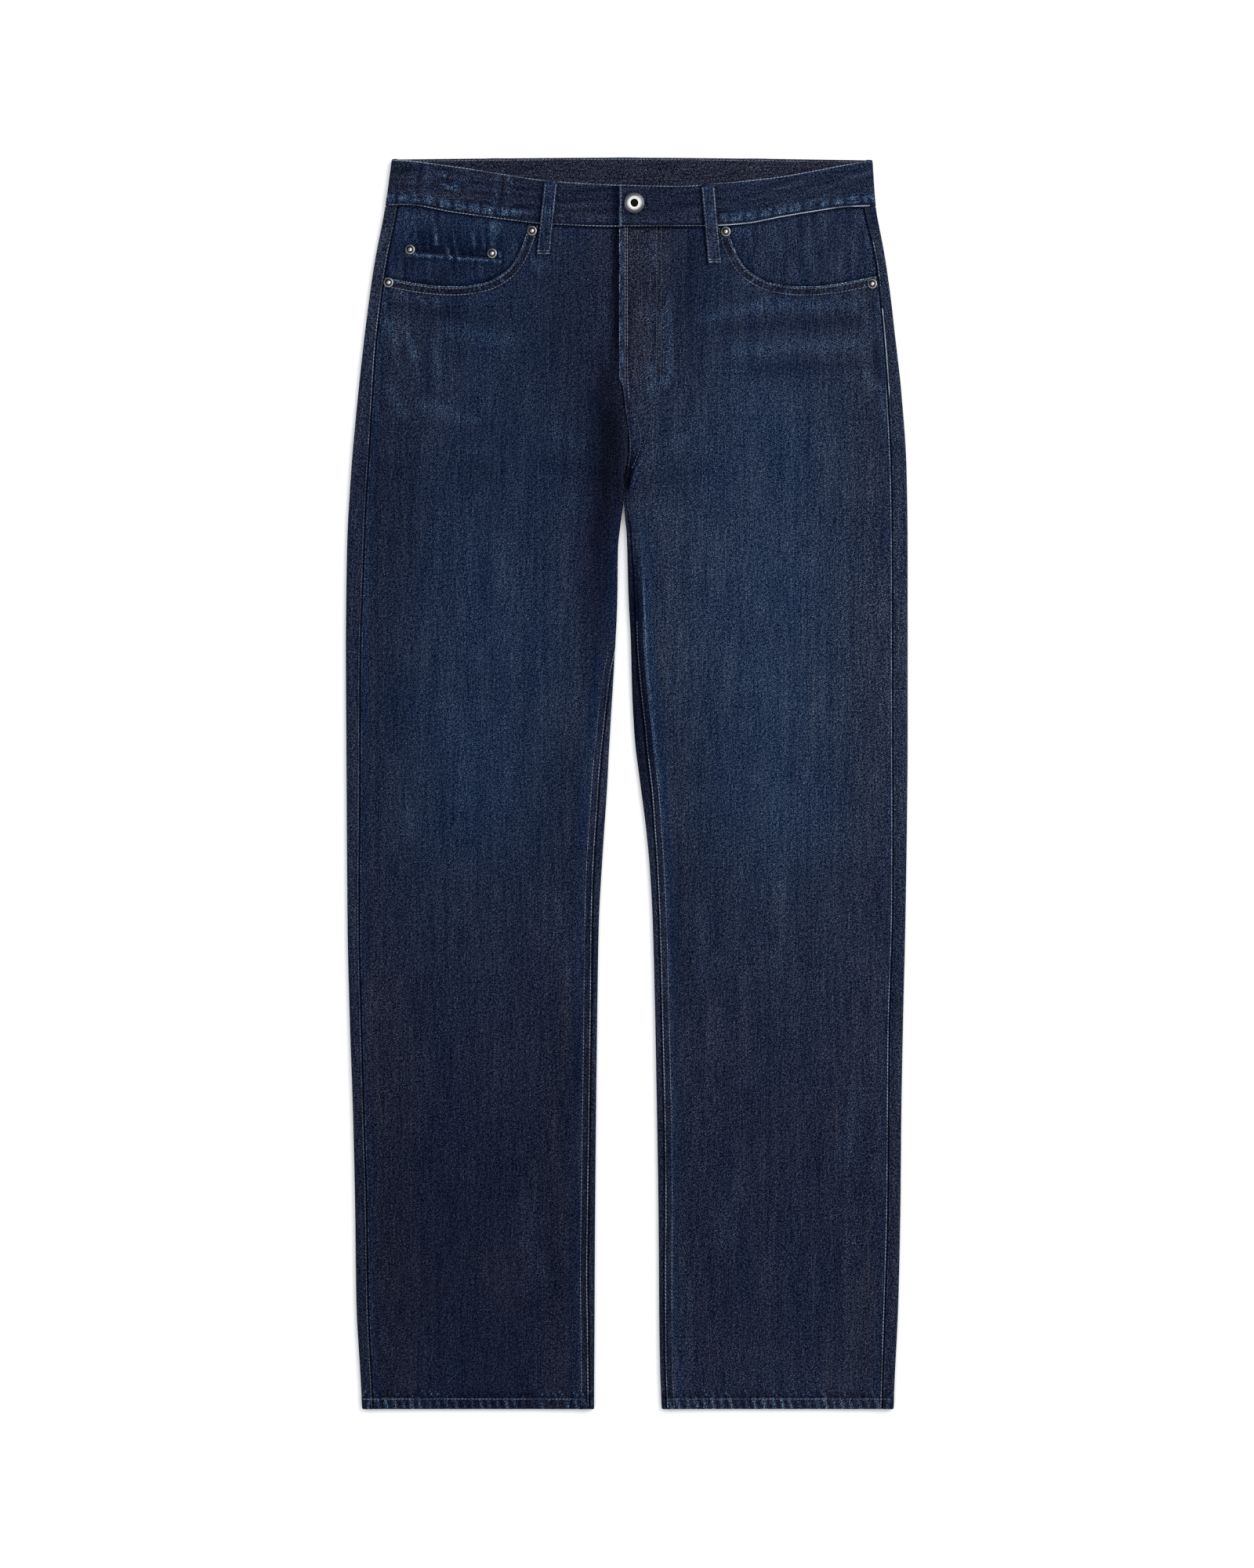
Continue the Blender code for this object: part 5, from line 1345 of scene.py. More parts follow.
# ---- rows of stitches
# the fly's two curved rows, the two short ones below its end and the two on its edge strip
FLY_INNER = ((26.2, 61), (26.2, 150), (25.8, 178), (25.4, 193), (24.0, 204), (20.6, 210.5),
             (14.6, 215), (8.8, 217), (1.7, 218.3))
FLY_OUTER = ((30.2, 61), (30.2, 150), (29.9, 178), (29.2, 194), (27.2, 206), (22.9, 213),
             (16.6, 218.3), (8.2, 221.5), (3.0, 222.8))
CROTCH_FIRST = ((-2.6, 195.6), (0.9, 224.5), (3.6, 241.3), (3.6, 254.5), (1.8, 264.0))
CROTCH_SECOND = ((9.6, 226.0), (12.8, 241.3), (11.4, 252.8), (5.4, 266.2))
FLY_STRIP_ROWS = (("dull", ((-0.84, 61.5), (-0.84, 188.0))),
                  ("dull", ((0.97, 61.5), (0.97, 150.0), (1.1, 190.0), (2.4, 206.0))))


def cut_corners(points):
    """Two points for each leg of a path, a quarter of it in from either end."""
    a, b = points[:-1], points[1:]
    return np.stack((a * 0.75 + b * 0.25, a * 0.25 + b * 0.75), axis=1).reshape(-1, points.shape[1])


def smooth_path(points, step=2.0):
    """A path through points, rounded and cut into even steps."""
    points = np.array(points, float)
    for _ in range(2):
        points = np.concatenate((points[:1], cut_corners(points), points[-1:]))
    length = np.concatenate(([0.0], np.cumsum(np.hypot(*np.diff(points, axis=0).T))))
    even = np.linspace(0.0, length[-1], max(2, int(length[-1] / step) + 1))
    return pairs(*(np.interp(even, length, points[:, k]) for k in (0, 1)))


def offset_path(points, inset):
    """The same path moved sideways, toward its right hand when inset is above zero."""
    points = np.array(points, float)
    way = np.gradient(points, axis=0)
    way /= np.hypot(way[:, 0], way[:, 1])[:, None]
    return points + pairs(-way[:, 1], way[:, 0]) * inset


def seam_row(side, start, end, inset):
    """A row along an outseam, from one height to another."""
    down = np.arange(start, end, SEAM_STEP)
    return pairs(front_outer_edge(side, down) + SIGN[side] * inset, down)


def line_rows():
    """Every row of sewing: its kind of thread, the pieces it is sewn to, its side and its path."""
    rows = []

    def row(kind, nodes, path, under=False):
        rows.append((kind, ["denim_" + node for node in nodes.split()], under, path))

    band_rows(row)
    for side in ("right", "left"):
        leg_rows(row, side)
        pocket_rows(row, side)
    for kind, line in (("faint", CROTCH_FIRST), ("faint", CROTCH_SECOND), *FLY_STRIP_ROWS,
                       ("faint", FLY_INNER), ("faint", FLY_OUTER)):
        row(kind, "front_left", smooth_path(line))
    half = LOOP_WIDTH / 2
    for loop in FRONT_LOOPS:
        name, top, end = loop["name"], loop["top"], loop["end"]
        for across, kind in ((-half + 1.2, "dull"), (half - 1.1, "seam")):
            row(kind, name, smooth_path([(x + across, down) for x, down in (top, end)])[2:-2])
        for place in (end[1] - 1.2, end[1] - 3.4):
            row("tack", name, [(end[0] - 4.6, place), (end[0] + 4.6, place)])
    for number, x in BACK_LOOPS.items():
        name, top = "belt_loop_%d" % number, float(BAND_BACK.at("top", x)) + 2.0
        end = float(BAND_BACK.at("bottom", x)) + LOOP_PAST_BAND - 1.4
        for across in (-half + 1.2, half - 1.2):
            row("seam", name, smooth_path([(x + across, top), (x + across, end)]), under=True)
        for place in (top, end):
            row("tack", name, [(x - 4.2, place), (x + 4.2, place)], under=True)
    row("navy", "coin_pocket", smooth_path([(-COIN_OUTER + 2, COIN_TOP_OUTER + 7.0),
                                            (-COIN_INNER - 2, COIN_TOP_INNER + 7.0)]))
    return rows


def band_rows(row):
    """The waistband's rows, with paler thread toward the left hip."""
    for start, end, lower in ((-203.0, -71.0, "seam"), (-71.0, -6.6, "seam"), (-4.6, 70.0, "dull"),
                              (70.0, 208.0, "pale")):
        x = np.linspace(start, end, 45)
        row("seam", "waistband", pairs(x, BAND_FRONT.at("top", x) + 0.8))
        row(lower, "waistband", pairs(x, BAND_FRONT.at("bottom", x) - 0.8))
    row("seam", "waistband", smooth_path([(-4.6, 25.0), (-4.6, 58.0)]))
    x = np.arange(-198.0, 206.0, ROW_STEP)
    row("dull", "waistband", pairs(x, BAND_BACK.at("top", x) + 1.6))
    for x1, down1, x2, down2, _, _ in BAND_JOINS.rows:
        row("navy", "waistband", smooth_path([(x1 + 1.2, down1 + 2.0), (x2 + 1.2, down2 - 3.0)]))
    for edge, inset in (("top", 1.0), ("bottom", -1.0)):
        row("seam", "waistband", pairs(x, BAND_BACK.at(edge, x) + inset), under=True)


def leg_rows(row, side):
    """Rows beside a pocket mouth, the outseam, the inseam, the hem, the yoke and the centre."""
    way, front, back = SIGN[side], "front_" + side, "back_" + side
    mouth = [(x * way, down) for x, down in smooth_path(scoop_path(side))]
    for inset in MOUTH_ROWS:
        path = offset_path(mouth, way * inset)
        keep = np.abs(path[:, 0]) < np.abs(front_outer_edge(side, path[:, 1])) - 1.5
        keep &= path[:, 1] > BAND_FRONT.at("bottom", path[:, 0]) + 2.0
        row("dull", front, path[keep])
    yoke_end, last = float(yoke_seam(side, outer_fold(side, HIP))), LENGTH - 2.0
    if side == "right":
        outer = (("yoke_right", 45.0, yoke_end - 0.5, "dull"), (back, yoke_end + 1.0, 121.0, "dull"),
                 (back, 121.0, 200.0, "seam"), (back, 200.0, 246.0, "dull"), (back, 246.0, last, "faint"))
    else:
        outer = ((back, yoke_end + 4.0, 104.0, "seam"), (back, 131.0, 205.0, "pale"),
                 (front, 205.0, last, "seam"))
    for node, start, end, kind in outer:
        row(kind, node, seam_row(side, start, end, -SEAM_ROW if node == front else SEAM_GAP + SEAM_ROW))
    down = np.arange(by_side(side, 426.0, 400.0), last, SEAM_STEP)
    inner, seam, high = INNER[side].at("x", down), INNER[side].at("seam", down), LAY.at("fold", down)
    edge = inner + way * (high / 2 * FOLD_ROUND + seam - quarter(high))
    for inset, kinds in zip(INSEAM_ROWS, ((by_side(side, "dull", "faint"), "seam"), ("faint", "dull"))):
        for kind, here in zip(kinds, (down < 520.0, down > 517.0)):
            row(kind, front, pairs(edge + way * inset, down)[here])
    ends = edge[-1], float(outer_fold(side, LENGTH))
    across = np.arange(min(ends) + 2.0, max(ends) - 2.0, ROW_STEP)
    for under in (False, True):
        row("dull", front + " " + back, pairs(across, LENGTH - HEM_DEEP + 1.2), under=under)
    for inset in (2.0, 7.6):
        x = np.arange(8.0, OUTER[side].at("fold", YOKE_MIDDLE) - 10.0, ROW_STEP) * way
        row("dull", back, pairs(x, yoke_seam(side, x) + inset), under=True)
    centre = CENTRE_BACK + way * 2.2
    row("dull", back, smooth_path([(centre, 100.0), (centre, 262.0)]), under=True)


def pocket_rows(row, side):
    """Two rows round a back pocket, and one under its top edge."""
    way, middle, pocket = SIGN[side], (POCKET_OUTER + POCKET_INNER) / 2, "back_pocket_" + side
    for inset in (2.2, 8.0):
        high = (POCKET_OUTER - POCKET_INNER) / 2 - RAMP / 2 - inset
        low = high - POCKET_TAPER
        top, side_low = POCKET_TOP + RAMP, POCKET_SIDE - inset * 0.9
        corners = [(middle - high, top), (middle - low, side_low), (middle, POCKET_POINT - inset - RAMP),
                   (middle + low, side_low), (middle + high, top)]
        for a, b in zip(corners, corners[1:]):
            row("seam", pocket, smooth_path([(a[0] * way, a[1]), (b[0] * way, b[1])]), under=True)
    across = np.arange(POCKET_INNER + 4.0, POCKET_OUTER - 4.0, ROW_STEP) * way
    for inset in (3.5, 13.0):
        row("seam", pocket, pairs(across, POCKET_TOP + inset), under=True)


def sewn_paths(rows, thread):
    """Points on the cloth and its face directions along every row of one thread."""
    trees, paths = {}, []
    for kind, pieces, under, path in rows:
        if kind != thread:
            continue
        found = []
        for x, down in path:
            origin = Vector((x * MM, (LENGTH / 2 - down) * MM, -0.05 if under else 0.05))
            best = None
            for name in pieces:
                if name not in trees:
                    mesh = bpy.data.objects[name].data
                    trees[name] = BVHTree.FromPolygons([v.co for v in mesh.vertices],
                                                       [p.vertices for p in mesh.polygons])
                hit, normal, _, far = trees[name].ray_cast(origin, Vector((0, 0, 1 if under else -1)))
                if hit is not None and (best is None or far < best[2]):
                    best = (hit, normal, far)
            if best is not None:
                found.append(best[:2])
                continue
            paths.append(found)
            found = []
        paths.append(found)
    return [path for path in paths if len(path) > 1]


def guide_lines(name, paths):
    """Edges along the rows, each point holding the direction its cloth faces."""
    points, faces_up, edges = [], [], []
    for path in paths:
        start = len(points)
        points.extend(tuple(point) for point, _ in path)
        faces_up.extend(tuple(normal) for _, normal in path)
        edges.extend((start + i, start + i + 1) for i in range(len(path) - 1))
    mesh = bpy.data.meshes.new(name)
    mesh.from_pydata(points, edges, [])
    layer = mesh.attributes.new("cloth_faces", "FLOAT_VECTOR", "POINT")
    layer.data.foreach_set("vector", np.array(faces_up, np.float32).ravel())
    return into_scene(name, mesh)


class Nodes:
    """Short words for building a tree of nodes."""

    def __init__(self, tree):
        self.nodes, self.link = tree.nodes, tree.links.new

    def put(self, value, socket):
        if isinstance(value, bpy.types.NodeSocket):
            self.link(value, socket)
        else:
            socket.default_value = value

    def add(self, kind, given=(), **settings):
        """A new node with its settings, then what is given to its inputs; returns its outputs."""
        node = self.nodes.new(kind)
        for name, value in settings.items():
            setattr(node, name, value)
        for name, value in dict(given).items():
            self.put(value, node.inputs[name])
        return node.outputs


SEWING_SIZES = ("Pitch", "Stitch length", "Thread width", "Thread height", "Slant", "Uneven")


def stitch_tree():
    """Stitches laid end to end along guide lines, on the side that the cloth faces."""
    tree = bpy.data.node_groups.new("row_of_stitches", "GeometryNodeTree")
    socket = tree.interface.new_socket
    socket("Lines", in_out="INPUT", socket_type="NodeSocketGeometry")
    sizes = [socket(name, in_out="INPUT", socket_type="NodeSocketFloat") for name in SEWING_SIZES]
    colour = socket("Thread", in_out="INPUT", socket_type="NodeSocketMaterial")
    socket("Stitches", in_out="OUTPUT", socket_type="NodeSocketGeometry")
    add = Nodes(tree).add
    given = add("NodeGroupInput")
    curve = add("GeometryNodeMeshToCurve", {"Mesh": given["Lines"]})
    even = add("GeometryNodeResampleCurve", {"Curve": curve["Curve"], "Length": given["Pitch"]},
               mode="LENGTH")
    faces_up = add("GeometryNodeInputNamedAttribute", {"Name": "cloth_faces"}, data_type="FLOAT_VECTOR")
    tangent = add("GeometryNodeInputTangent")
    axes = add("FunctionNodeAxesToRotation", {"Primary Axis": faces_up["Attribute"],
                                              "Secondary Axis": tangent["Tangent"]},
               primary_axis="Z", secondary_axis="X")
    # each stitch leans across its row, and each a little differently
    spread = add("ShaderNodeMath", {0: given["Uneven"], 1: -1.0}, operation="MULTIPLY")
    jitter = add("FunctionNodeRandomValue", {2: spread[0], 3: given["Uneven"], "Seed": 7},
                 data_type="FLOAT")
    lean = add("ShaderNodeMath", {0: given["Slant"], 1: jitter[1]}, operation="ADD")
    turn = add("ShaderNodeCombineXYZ", {"Z": lean[0]})
    lay = add("FunctionNodeRotateRotation", {"Rotation": axes["Rotation"], "Rotate By": turn["Vector"]},
              rotation_space="LOCAL")
    strand = add("GeometryNodeMeshUVSphere", {"Segments": 6, "Rings": 5, "Radius": 1.0})
    lie = add("GeometryNodeTransform", {"Geometry": strand["Mesh"], "Rotation": (0.0, math.pi / 2, 0.0)})
    size = add("ShaderNodeCombineXYZ", {"X": given["Stitch length"], "Y": given["Thread width"],
                                        "Z": given["Thread height"]})
    set_out = add("GeometryNodeInstanceOnPoints", {"Points": even["Curve"], "Instance": lie["Geometry"],
                                                   "Rotation": lay["Rotation"], "Scale": size["Vector"]})
    real = add("GeometryNodeRealizeInstances", {"Geometry": set_out["Instances"]})
    round_off = add("GeometryNodeSetShadeSmooth", {"Geometry": real["Geometry"]})
    paint = add("GeometryNodeSetMaterial", {"Geometry": round_off["Geometry"], "Material": given["Thread"]})
    add("NodeGroupOutput", {"Stitches": paint["Geometry"]})
    return tree, [size.identifier for size in sizes], colour.identifier


# each kind of thread: the six sizes above in millimetres and radians, then colour and grain
SEWING = {
    "pale": ((2.1, 1.3, 0.4, 0.34, 0.24, 0.08), (0.39, 0.455, 0.56), 0),
    "seam": ((STITCH, STITCH * 0.44, THREAD * 0.86, 0.3, 0.12, 0.06), (0.215, 0.25, 0.32), 5),
    "dull": ((STITCH, STITCH * 0.42, THREAD * 0.9, 0.27, 0.12, 0.06), (0.13, 0.155, 0.2), 9),
    "faint": ((STITCH, STITCH * 0.4, THREAD * 0.8, 0.22, 0.12, 0.08), (0.07, 0.085, 0.115), 7),
    "tack": ((0.8, 0.8, 0.3, 0.3, 1.35, 0.15), (0.24, 0.28, 0.35), 4),
    "navy": ((STITCH, STITCH * 0.36, THREAD * 0.9, 0.22, 0.0, 0.1), (0.012, 0.014, 0.022), 2),
}


def sewing():
    """All rows of one thread become one plain mesh."""
    threads = {kind: thread(kind + "_thread", colour, grain)
               for kind, (_, colour, grain) in SEWING.items()}
    tree, sockets, colour_socket = stitch_tree()
    rows = line_rows()
    for kind, (sizes, _, _) in SEWING.items():
        guide = guide_lines("stitches_" + kind, sewn_paths(rows, kind))
        modifier = guide.modifiers.new("sewing", "NODES")
        modifier.node_group = tree
        for name, socket, size in zip(SEWING_SIZES, sockets, sizes):
            modifier[socket] = size if name in ("Slant", "Uneven") else size * MM
        modifier[colour_socket] = threads[kind]
        bpy.context.view_layer.update()
        seen = guide.evaluated_get(bpy.context.evaluated_depsgraph_get())
        mesh = bpy.data.meshes.new_from_object(seen)
        guide.modifiers.clear()
        old, guide.data = guide.data, mesh
        bpy.data.meshes.remove(old)
        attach(guide, "root")


# ---- rivets and button
def turned(node, profile, place, steps, metal, left_painted_shade=0.0):
    """A profile spun round an upright axis.

    Each row is a radius, a height and how bright the metal is painted there: rubbed plate, tarnish, and
    painted highlights, reflections and shade. The last argument is how much painted shade darkens the left
    side, away from the lamp.
    """
    name, (x, down, z) = "metal_" + node, place
    ring = [row for row in profile if row[0] > 0]
    points = [(0.0, 0.0, profile[0][1]), (0.0, 0.0, profile[-1][1])]
    rubbed = [profile[0][2] * (1 - left_painted_shade / 2), profile[-1][2]]
    for radius, height, row_brightness in ring:
        for k in range(steps):
            turn = math.tau * k / steps
            points.append((radius * math.cos(turn), radius * math.sin(turn), height))
            rubbed.append(row_brightness * (1 - left_painted_shade * (0.5 - 0.5 * math.cos(turn + 0.35))))

    def number(row, k):
        return 2 + row * steps + k % steps

    faces = [(0, number(0, k), number(0, k + 1)) for k in range(steps)]
    faces += [(number(row, k), number(row + 1, k), number(row + 1, k + 1), number(row, k + 1))
              for row in range(len(ring) - 1) for k in range(steps)]
    faces += [(1, number(len(ring) - 1, k + 1), number(len(ring) - 1, k)) for k in range(steps)]
    mesh = bpy.data.meshes.new(name)
    mesh.from_pydata([((x + px) * MM, (LENGTH / 2 - down + py) * MM, (z + pz) * MM)
                      for px, py, pz in points], [], faces)
    layer = mesh.attributes.new("rubbed", "FLOAT", "POINT")
    layer.data.foreach_set("value", np.array(rubbed, np.float32))
    mesh.materials.append(metal)
    mesh.shade_smooth()
    mesh.set_sharp_from_angle(angle=math.radians(SHARP_METAL))
    piece = into_scene(name, mesh)
    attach(piece, "root")
    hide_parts(node)


def rounded(points, cuts=2):
    """A profile with its corners cut off again and again, ends kept."""
    points = np.array(points, float)
    for _ in range(cuts):
        points = np.concatenate((points[:1], cut_corners(points)[1:-1], points[-1:]))
    return [tuple(float(part) for part in row) for row in points]


# profiles: parts of the radius and of the height, and how bright each is painted: rubbing, tarnish, and
# painted highlight, reflection, glint and shade
RIVET = ((0.0, 0.99, 1.0), (0.22, 0.97, 1.0), (0.38, 0.8, 0.8), (0.45, 0.36, 0.05), (0.66, 0.28, 0.02),
         (0.72, 0.6, 0.35), (0.84, 0.76, 0.62), (0.97, 0.6, 0.42), (1.0, 0.36, 0.2), (0.98, 0.0, 0.1))
BUTTON_MIDDLE = ((0.0, 0.3, 0.0), (0.55, 0.3, 0.0), (0.95, 0.32, 0.0), (1.05, 0.8, 0.03),
                 (1.2, 0.97, 1.0), (1.6, 1.0, 1.0))
BUTTON_RING = ((0.66, 0.98, 0.55), (0.76, 0.94, 0.18), (0.92, 0.82, 0.1), (0.97, 0.7, 0.35),
               (1.0, 0.56, 0.4), (0.96, 0.34, 0.1), (0.6, 0.22, 0.05), (0.5, 0.2, 0.05), (0.5, 0.0, 0.05))


RIVET_SIDES, BUTTON_SIDES = 40, 72


def sized(profile, radius, height):
    return [(radius * across, height * up, row_brightness) for across, up, row_brightness in profile]


def rivet(name, x, down, metal):
    """A rolled rim round a dark groove with a raised nub; the groove's dark is tarnish and painted shade,
    the nub's bright top a painted highlight.
    """
    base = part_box(name)[0][2] / MM
    profile = rounded(sized(RIVET, RIVET_RADIUS, RIVET_HEIGHT))
    # the left side is painted darker, as shade away from the lamp
    turned(name, profile + [(0.0, 0.0, 0.1)], (x, down, base), RIVET_SIDES, metal, 0.75)


def button(metal):
    """A domed ring on a low foot, its brightness painted: a painted reflection lights the ring beside its
    sunk middle and leaves its outer slope dark, a painted glint lights its rim, and painted shade darkens
    the middle.
    """
    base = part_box("waist_button")[0][2] / MM
    profile = rounded(sized(BUTTON_MIDDLE, BUTTON_HOLE, BUTTON_HEIGHT)
                      + sized(BUTTON_RING, BUTTON_RADIUS, BUTTON_HEIGHT))
    turned("waist_button", profile + [(0.0, 0.0, 0.05)], (BUTTON_X, BUTTON_DOWN, base), BUTTON_SIDES,
           metal)


# ---- finishes
class Paint(Nodes):
    """The nodes of one material."""

    def __init__(self, name):
        self.material = bpy.data.materials.new(name)
        self.material.use_nodes = True
        super().__init__(self.material.node_tree)
        self.shader = self.nodes["Principled BSDF"]

    def math(self, operation, *values):
        return self.add("ShaderNodeMath", enumerate(values), operation=operation)[0]

    def total(self, start, *parts):
        """start plus each (value, weight)."""
        for value, weight in parts:
            start = self.math("MULTIPLY_ADD", value, weight, start)
        return start

    def range(self, value, low, high, to_low=0.0, to_high=1.0):
        return self.add("ShaderNodeMapRange", enumerate((value, low, high, to_low, to_high)),
                        interpolation_type="SMOOTHSTEP")[0]

    def mark(self, name):
        return self.add("ShaderNodeAttribute", attribute_name=name)["Fac"]

    def stretched(self, place, across, along, turn=0.0):
        """Cloth places turned, then in units of a size across and a size along (metres)."""
        return self.add("ShaderNodeMapping", {"Vector": place, "Rotation": (0.0, 0.0, turn),
                                              "Scale": (across, along, 1.0)}, vector_type="TEXTURE")[0]

    def noise(self, scale, detail=2.0, place=None):
        """Grain over the cloth's own places, or over the whole object where none are given."""
        flat = "3D" if place is None else "2D"
        if place is None:
            place = self.add("ShaderNodeTexCoord")["Object"]
        return self.add("ShaderNodeTexNoise", {"Vector": place, "Scale": scale, "Detail": detail},
                        noise_dimensions=flat)[0]

    def ramp(self, value, stops):
        node = self.nodes.new("ShaderNodeValToRGB")
        ramp = node.color_ramp
        while len(ramp.elements) < len(stops):
            ramp.elements.new(1.0)
        for element, (place, colour) in zip(ramp.elements, stops):
            element.position, element.color = place, (*colour, 1.0)
        self.link(value, node.inputs["Fac"])
        return node.outputs["Color"]

    def mix(self, a, b, factor):
        return self.add("ShaderNodeMix", {"Factor": factor, "A": a, "B": b}, data_type="RGBA")["Result"]

    def finish(self, colour, rough, bump=None, bump_size=0.0, strength=1.0, **sockets):
        self.put(colour, self.shader.inputs["Base Color"])
        self.put(rough, self.shader.inputs["Roughness"])
        for name, value in sockets.items():
            self.shader.inputs[name.replace("_", " ")].default_value = value
        if bump is not None:
            bumps = self.add("ShaderNodeBump", {"Distance": bump_size, "Strength": strength,
                                                "Height": bump})
            self.link(bumps["Normal"], self.shader.inputs["Normal"])
        return self.material


STUDIO_GAIN = 1.75        # how much lighter the studio shows a surface than its own colour
GRAIN_DEEP = 0.08         # keeps the mean lightness while the grain brightens its flecks
TWILL_ALONG, TWILL_ACROSS = 0.00202, 0.0035  # from one twill line to the next
WEAR_AND_HIGHLIGHT_GAIN = 0.16          # how much lighter full wear or painted highlight makes the cloth
PAINTED_SHADE_LOSS, PAINTED_SHADE_LEAST = 0.7, 0.18  # how much of its light full painted shade takes away, and the least left
GRAIN_LEAST = 0.12        # no fleck is darker than this part of the cloth's tone
DYE_LEVELS = (0.0, 0.03, 0.06, 0.09, 0.13, 0.17, 0.22, 0.28, 0.36, 0.48, 0.65, 1.0)


def dye(red, blue):
    """Colours from dark to light; red and blue say how far those lie from the green."""
    stops = []
    for level in DYE_LEVELS:
        part = min(1.0, level / 0.07)
        colour = []
        for shift in (red, 0.0, blue):
            part_here = part * (1 + 2.5 * max(level - 0.18, 0.0) if shift < 0 else 1.0)
            shade = min(max(level + shift * part_here, 0.0), 1.0)
            shade = shade / 12.92 if shade <= 0.04045 else ((shade + 0.055) / 1.055) ** 2.4
            colour.append(shade / STUDIO_GAIN)
        stops.append((level, tuple(colour)))
    return stops


# the denim's grain: size across and along in metres, turn, detail and weight of each part
GRAIN = {
    "fleck": (0.0007, 0.0012, -0.75, 0.0, 2.5), "salt": (0.00064, 0.00064, 0.3, 0.0, 2.2),
    "patch": (0.0017, 0.0026, 0.0, 1.0, 1.35), "slub": (0.0013, 0.02, 0.0, 1.0, 0.75),
    "streak": (0.0048, 0.1, 0.0, 2.0, 0.5), "cloud": (0.045, 0.1, 0.0, 2.0, 0.25),
}


def denim(name, seed):
    """Indigo twill: pale weft flecks, slubby warp, cloudy washing, wear with painted highlight, and painted
    shade.
    """
    paint = Paint(name)
    places = paint.add("ShaderNodeUVMap", uv_map="cloth")["UV"]
    cloth = paint.add("ShaderNodeVectorMath", {0: places, 1: (seed * 0.731, seed * 0.417, 0.0)},
                      operation="ADD")["Vector"]
    part = {kind: paint.noise(1.0, detail, paint.stretched(cloth, across, along, turn))
            for kind, (across, along, turn, detail, _) in GRAIN.items()}
    # twill lines climb across the warp
    split = paint.add("ShaderNodeSeparateXYZ", {"Vector": cloth})
    climb = paint.total(0.0, (split["Y"], 1 / TWILL_ALONG), (split["X"], -1 / TWILL_ACROSS),
                        (part["patch"], 1.2))
    twill = paint.math("SINE", paint.math("MULTIPLY", climb, math.tau))
    weights = {kind: row[-1] for kind, row in GRAIN.items()}
    grain = paint.total(-GRAIN_DEEP - 0.5 * sum(weights.values()),
                        *((part[kind], weight) for kind, weight in weights.items()), (twill, 0.26))
    rough = paint.math("MULTIPLY_ADD", paint.mark("grey"), 0.45, 0.92)
    grain = paint.math("MULTIPLY_ADD", grain, rough, 1.0)
    # worn lightens the tone (wear and painted highlight); ditch darkens it (painted shade)
    worn, ditch = paint.mark("worn"), paint.mark("ditch")
    base = paint.math("MULTIPLY_ADD", worn, WEAR_AND_HIGHLIGHT_GAIN, paint.mark("wash"))
    shade = paint.math("MAXIMUM", paint.math("MULTIPLY_ADD", ditch, -PAINTED_SHADE_LOSS, 1.0), PAINTED_SHADE_LEAST)
    tone = paint.math("MULTIPLY", paint.math("MULTIPLY", base, shade),
                      paint.math("MAXIMUM", grain, GRAIN_LEAST))
    kept_grey = paint.math("MULTIPLY_ADD", paint.math("MINIMUM", worn, 0.5), -1.7, 1.0)
    grey = paint.total(-0.65, (paint.mark("grey"), kept_grey), (part["streak"], 0.6),
                       (part["cloud"], 0.4), (part["slub"], 0.3))
    grey = paint.math("MINIMUM", paint.math("MAXIMUM", grey, 0.0), 1.0)
    colour = paint.mix(paint.ramp(tone, dye(-0.06, 0.118)), paint.ramp(tone, dye(-0.013, 0.068)), grey)
    height = paint.total(paint.math("MULTIPLY", twill, 0.18), (part["fleck"], 1.0),
                         (part["slub"], 0.8), (part["salt"], 0.4))
    return paint.finish(
        colour, 0.92, height, 0.0002, 0.7, Specular_IOR_Level=0.02, Sheen_Weight=0.02,
        Sheen_Roughness=0.45, Sheen_Tint=(0.62, 0.72, 0.95, 1.0))


def thread(name, colour, seed):
    """Twisted cotton, a little soiled with indigo."""
    paint = Paint(name)
    soil, plies = paint.noise(60.0, 3.0), paint.noise(2600.0 + seed)
    dark = tuple(part * 0.3 for part in colour)
    tone = paint.mix((*dark, 1.0), (*colour, 1.0), paint.range(soil, 0.36, 0.58))
    return paint.finish(tone, 0.8, plies, 0.0001, 0.6, Specular_IOR_Level=0.2, Sheen_Weight=0.1)


def nickel(name):
    """Aged plate: rubbing and painted highlights and reflections make it bright, tarnish and painted shade
    make its grooves nearly black.
    """
    paint = Paint(name)
    tarnish = paint.noise(900.0, 4.0)
    bright = paint.math("MULTIPLY", paint.mark("rubbed"), paint.range(tarnish, 0.3, 0.55, 0.7, 1.0))
    colour = paint.ramp(bright, [(0.0, (0.008, 0.007, 0.006)), (0.2, (0.11, 0.115, 0.13)),
                                 (0.5, (0.36, 0.355, 0.35)), (1.0, (0.84, 0.83, 0.81))])
    rough = paint.range(tarnish, 0.35, 0.65, 0.46, 0.3)
    return paint.finish(colour, rough, tarnish, 0.00008, 0.4, Metallic=1.0)


def floor_finish():
    paint = Paint("studio_floor")
    colour = paint.mix((0.93, 0.93, 0.93, 1.0), (0.945, 0.945, 0.945, 1.0), paint.noise(3.0))
    return paint.finish(colour, 0.9, Specular_IOR_Level=0.1)


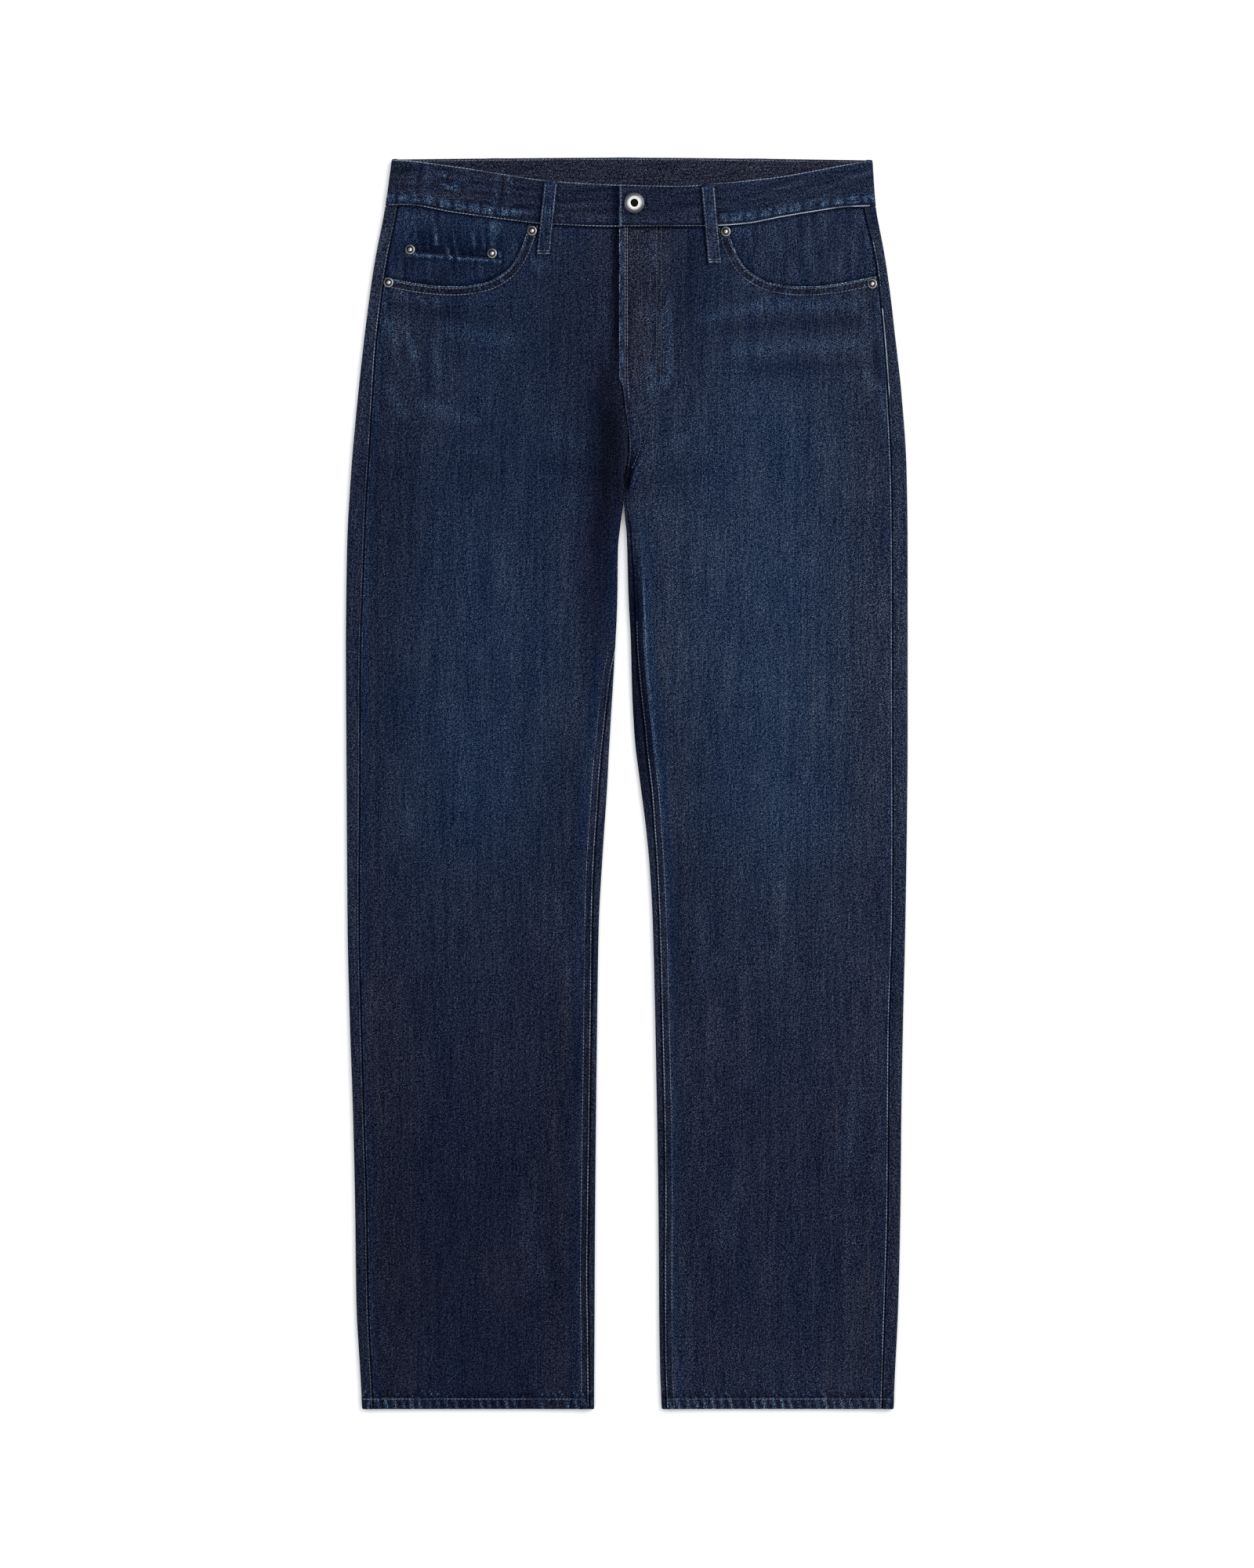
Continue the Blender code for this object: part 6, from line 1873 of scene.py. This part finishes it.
# ---- camera, floor and light
def camera():
    data = bpy.data.cameras.new("camera")
    data.type, data.sensor_width, data.sensor_fit = "PERSP", 36.0, "AUTO"
    data.lens = CAMERA_HIGH * data.sensor_width / VIEW_LONG
    data.clip_end = 50.0
    thing = into_scene("camera", data)
    thing.location = (0.0007, -0.0007, (CAMERA_HIGH + CLOTH_FACE) * MM)
    bpy.context.scene.camera = thing


def floor():
    mesh = bpy.data.meshes.new("floor")
    half, low = 4.0, -0.0004
    mesh.from_pydata([(-half, -half, low), (half, -half, low), (half, half, low), (-half, half, low)],
                     [], [(0, 1, 2, 3)])
    mesh.materials.append(floor_finish())
    thing = into_scene("floor", mesh)


def soft_box(name, place, size, power):
    """A round soft lamp that looks at the middle of the garment."""
    data = bpy.data.lights.new(name, "AREA")
    data.shape, data.size, data.energy = "DISK", size, power
    thing = into_scene(name, data)
    thing.location = place
    thing.rotation_euler = (-Vector(place)).to_track_quat("-Z", "Y").to_euler()


def studio_light():
    soft_box("key_light", (2.3, 1.7, 2.6), size=3.2, power=100.0)
    soft_box("fill_light", (-2.4, 0.6, 3.0), size=2.6, power=22.0)
    world = bpy.data.worlds.new("studio")
    world.use_nodes = True
    background = world.node_tree.nodes["Background"]
    background.inputs["Color"].default_value = (0.96, 0.98, 1.0, 1.0)
    background.inputs["Strength"].default_value = 0.95
    bpy.context.scene.world = world
    bpy.context.scene.view_settings.view_transform = "Standard"


# ---- the dressed garment
def main():
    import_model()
    camera()
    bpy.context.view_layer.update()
    floor()
    studio_light()
    body, band, pocket, loops = (denim("indigo_denim", 0), denim("waistband_denim", 1),
                                 denim("pocket_denim", 2), denim("loop_denim", 3))
    for side in ("right", "left"):
        front_panel(side, body)
        back_panel(side, body)
        yoke(side, body)
        facing(side, pocket)
        back_pocket(side, pocket)
    coin_pocket(pocket)
    waistband(band)
    for loop in FRONT_LOOPS:
        front_loop(loop, loops)
    for number, x in BACK_LOOPS.items():
        back_loop(number, x, loops)
    sewing()
    metal = nickel("aged_nickel")
    for name, x, down in RIVETS:
        rivet(name, x, down, metal)
    button(metal)


main()
